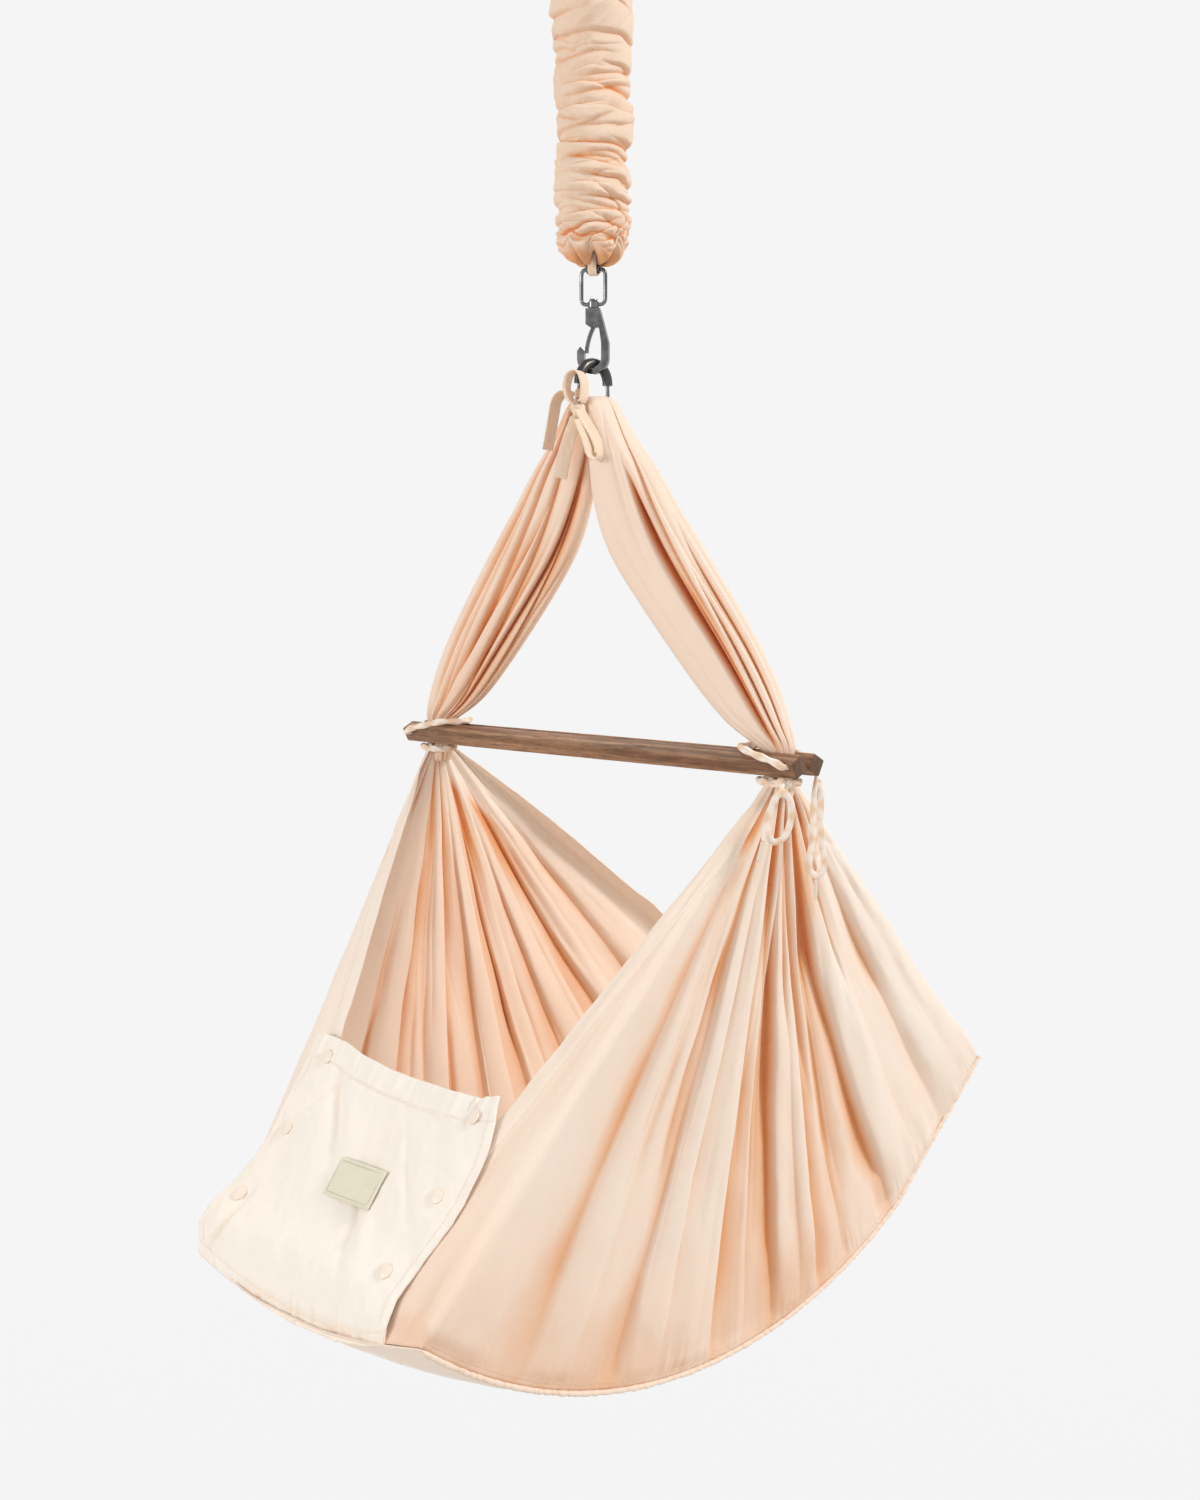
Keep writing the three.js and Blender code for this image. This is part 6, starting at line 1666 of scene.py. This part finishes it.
def sleeve_shape():
    """A gathered tube: slack cloth drawn up on the spring, in creases that run partly round."""
    v = np.linspace(0, 1, 640)[:, None]
    z = SLEEVE_TOP + (SLEEVE_LOW - SLEEVE_TOP) * v
    a = np.linspace(0, 2 * np.pi, 230, endpoint=False)[None]
    ca, sa = np.cos(a), np.sin(a)
    body = 32.0 + 1.6 * soft_noise(v * 6, a * 0, 701) + 2.6 * rough(1.2 * ca + 4, 1.2 * sa + v * 11, 703, 2)
    drawn, line = sleeve_creases(z, a, v)
    radius = body + 3.0 - drawn + 0.5 * rough(5 * ca, 5 * sa + v * 40, 731, 3)
    # the mouths are drawn in, with frills
    ends = np.clip((z - SLEEVE_LOW) / 14, 0, 1) ** 0.45 * np.clip((SLEEVE_TOP - z) / 16, 0, 1) ** 0.5
    upper = z > (SLEEVE_TOP + SLEEVE_LOW) / 2
    mouth, frill = np.where(upper, 23.5, 10.5), np.where(upper, 0.2, 1)
    lobes = 7 * a + 1.5 * soft_noise(a * 2 / np.pi * 3, v * 3, 733)
    radius = mouth + (radius - mouth) * ends
    near_mouth = 1 - step(z - SLEEVE_LOW, 2, 32)
    radius = radius + 3.4 * np.sin(lobes) * (1 - ends) ** 0.7 * frill
    radius = radius + 3.4 * (abs(np.sin(lobes * 0.5 + 0.7)) - 0.6) * near_mouth * np.clip(ends * 1.5, 0, 1)
    height = z - 0.25 * drawn + 5.5 * np.sin(lobes + 1.2 + 0.8 * soft_noise(a * 2, v * 0, 737)) * near_mouth
    deep = np.maximum(np.clip((line - 2.0) / 9.0, 0, 1), 0.7 * (1 - step(height - SLEEVE_LOW, 0, 9)))
    return np.stack([radius * ca, radius * sa, height + 0 * a], -1), deep


points, deep = sleeve_shape()
# painted shade in the creases and at the lower mouth, and where the sleeve turns from the lamps
tone = 0.50 + 0.48 * deep
tone = tone + (0.9 - np.minimum(tone, 0.9)) * 0.4 * painted_lamp_shade(points, points * np.array([1.0, 1, 0]), True)
sleeve = cloth_piece("spring_cover", points, 1.0, SHADED_PEACH, None, tone, 0, True)
settle(sleeve)
stand_for(sleeve, "spring_sleeve")
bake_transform(sleeve)

# ---------------------------------------------------------------- tape, swivel and hook

# The tape runs round the spring's lower hook and round the swivel's tube
upper_r = 2.3 + 1.0 + SPRING_EYE - math.sqrt(SPRING_EYE**2 - 16) + 0.8
lower_r = 4 + 0.3 + 0.8
out, over = turned([0, -1, 0], HOOK_TURN), turned([1, 0, 0], HOOK_TURN)
lean = math.asin((lower_r - upper_r) / 27)
line = [out * r * math.cos(t) + np.array([0, 0, level + r * math.sin(t)])
        for r, level, start, stop in ((upper_r, SPRING_LOW, -lean, math.pi + lean),
                                      (lower_r, BAIL_TOP, math.pi + lean, 2 * math.pi - lean))
        for t in np.linspace(start, stop, 24)]
section = rounded([(-4, -0.8), (4, -0.8), (4, 0.8), (-4, 0.8)], 0.5, 4)
rings = swept(smooth_line(line, 200, True), section, True, over)
mesh = rings_mesh("hanging_tape", rings, True, fold=np.full((200, len(section)), 0.25))
stand_for(new_object("hanging_tape", mesh, TAPE, "tape_loop"), "hang_tape")

# Swivel: its bail, the boss below it, the tube on it, and its rivet
corners = rounded([(-11, BAIL_LOW), (11, BAIL_LOW), (11, BAIL_TOP), (-11, BAIL_TOP)], 5.5, 9)
line = smooth_line(turned([(x, 0, z) for x, z in corners], HOOK_TURN), 200, True)
wire("swivel_wire", "swivel_bail", line, 1.8, "bail", 20, True)
BOSS = [(2.3, -3), (4.6, -3), (5.2, -2.4), (5.2, 2.2), (4.4, 3), (2.3, 3)]
lathe("swivel_boss", [(r, BAIL_LOW + z) for r, z in BOSS], STEEL, "bail", 48)
TUBE = [(2.1, -6.0), (3.6, -6.0), (4, -5.6), (4, 5.6), (3.6, 6.0), (2.1, 6.0)]
tube = lathe("swivel_tube", TUBE, DARK, "bail", 40, BAIL_TOP, HOOK_TURN)
stand_for(tube, "bail_tube")
head = BAIL_LOW + 3.3
PIN = [(0, HOOK_TOP - 7), (2, HOOK_TOP - 7), (2, head), (3.8, head), (3.8, head + 0.9), (3.3, head + 1.7),
       (2.2, head + 2.15), (0, head + 2.3)]
stand_for(lathe("swivel_pin", PIN, STEEL, "snap_hook", 40), "swivel_rivet")

softened_copy("snap_hook_body", "hook_body", 0.9, "snap_hook", 4, 40)
softened_copy("snap_hook_gate", "hook_gate", 0.4, "gate", 3, 40)
softened_copy("snap_hook_pin", "gate_pin", 0.25, "snap_hook")

# Sling ring and its tube
w = 18.0
middle = RING_TOP - w
points = [(0, -w, RING_LOW + 5), (0, -w + 1.5, RING_LOW + 1.5), (0, -w + 5, RING_LOW), (0, w - 5, RING_LOW),
          (0, w - 1.5, RING_LOW + 1.5), (0, w, RING_LOW + 5)]
points += arch(w, middle, 0, math.pi, 25)
wire("sling_loop", "sling_ring", smooth_line(points, 260, True), 1.75, "cradle", 20, True)
points = [(0, w, middle - 1)] + arch(w, middle, 0, math.pi, 40) + [(0, -w, middle - 1)]
wire("sling_loop_tube", "ring_tube", smooth_line(points, 120), 4.6, "cradle", 28, dark=True)

# ---------------------------------------------------------------- floor, backdrop and light


def backdrop_material():
    """A light ground that keeps some of the shadows near the part and shows plain further out."""
    n = Nodes("backdrop")
    n.set("Base Color", (0.60, 0.60, 0.60, 1))
    n.set("Roughness", n.spread(n.noise(None, 3, 3), 0.3, 0.7, 0.85, 0.95))
    reach = n.add("ShaderNodeVectorMath", operation="LENGTH")
    n.feed(reach.inputs[0], n.object)
    kept = n.spread(reach.outputs["Value"], 0.9, 3.2, 0.92, 1.0)
    rays = n.add("ShaderNodeLightPath")
    glow = n.add("ShaderNodeEmission", in_Color=srgb(245, 245, 245), in_Strength=1.0)
    seen = n.math("MAXIMUM", rays.outputs["Is Camera Ray"], rays.outputs["Is Glossy Ray"])
    shown = n.math("MAXIMUM", seen, rays.outputs["Is Transmission Ray"])
    n.blend(n.math("MULTIPLY", shown, kept), n.shader.outputs[0], glow.outputs[0], "Material Output")
    return n.material


disc = [(9000 * math.cos(t), 9000 * math.sin(t), -1900) for t in np.linspace(0, 2 * np.pi, 96, endpoint=False)]
new_object("floor", mesh_of("floor", disc, [list(range(96))]), backdrop_material())

world = bpy.data.worlds.new("studio")
bpy.context.scene.world = world
world.use_nodes = True
sky = Tree(world.node_tree)
background = sky.tree.nodes["Background"]
sky.feed(background.inputs["Color"], (1.0, 0.985, 0.965, 1))
sky.feed(background.inputs["Strength"], 0.58)
plain = sky.add("ShaderNodeBackground", in_Color=srgb(245, 245, 245), in_Strength=1.0)
rays = sky.add("ShaderNodeLightPath")
seen = sky.math("MAXIMUM", rays.outputs["Is Camera Ray"], rays.outputs["Is Glossy Ray"])
sky.blend(seen, background.outputs[0], plain.outputs[0], "World Output")


def lamp(name, place, target, size, power, colour):
    data = bpy.data.lights.new(name, "AREA")
    data.shape = "RECTANGLE"
    data.size = data.size_y = size
    data.energy = power
    data.color = colour
    obj = bpy.data.objects.new(name, data)
    obj.location = place
    obj.rotation_mode = "QUATERNION"
    obj.rotation_quaternion = (Vector(target) - Vector(place)).to_track_quat("-Z", "Y")
    bpy.context.scene.collection.objects.link(obj)


lamp("key", (4.41, 2.05, 3.08), (0, 0, -0.95), 1.9, 212, (1, 0.985, 0.965))
lamp("fill", (-1.4, -5.4, 0.3), (0, 0, -0.95), 2.0, 116, (1, 0.985, 0.965))
lamp("back", (-2.2, 2.0, 0.3), (0, 0, -0.9), 1.8, 34, (1, 0.98, 0.95))

bpy.context.scene.view_settings.view_transform = "Standard"
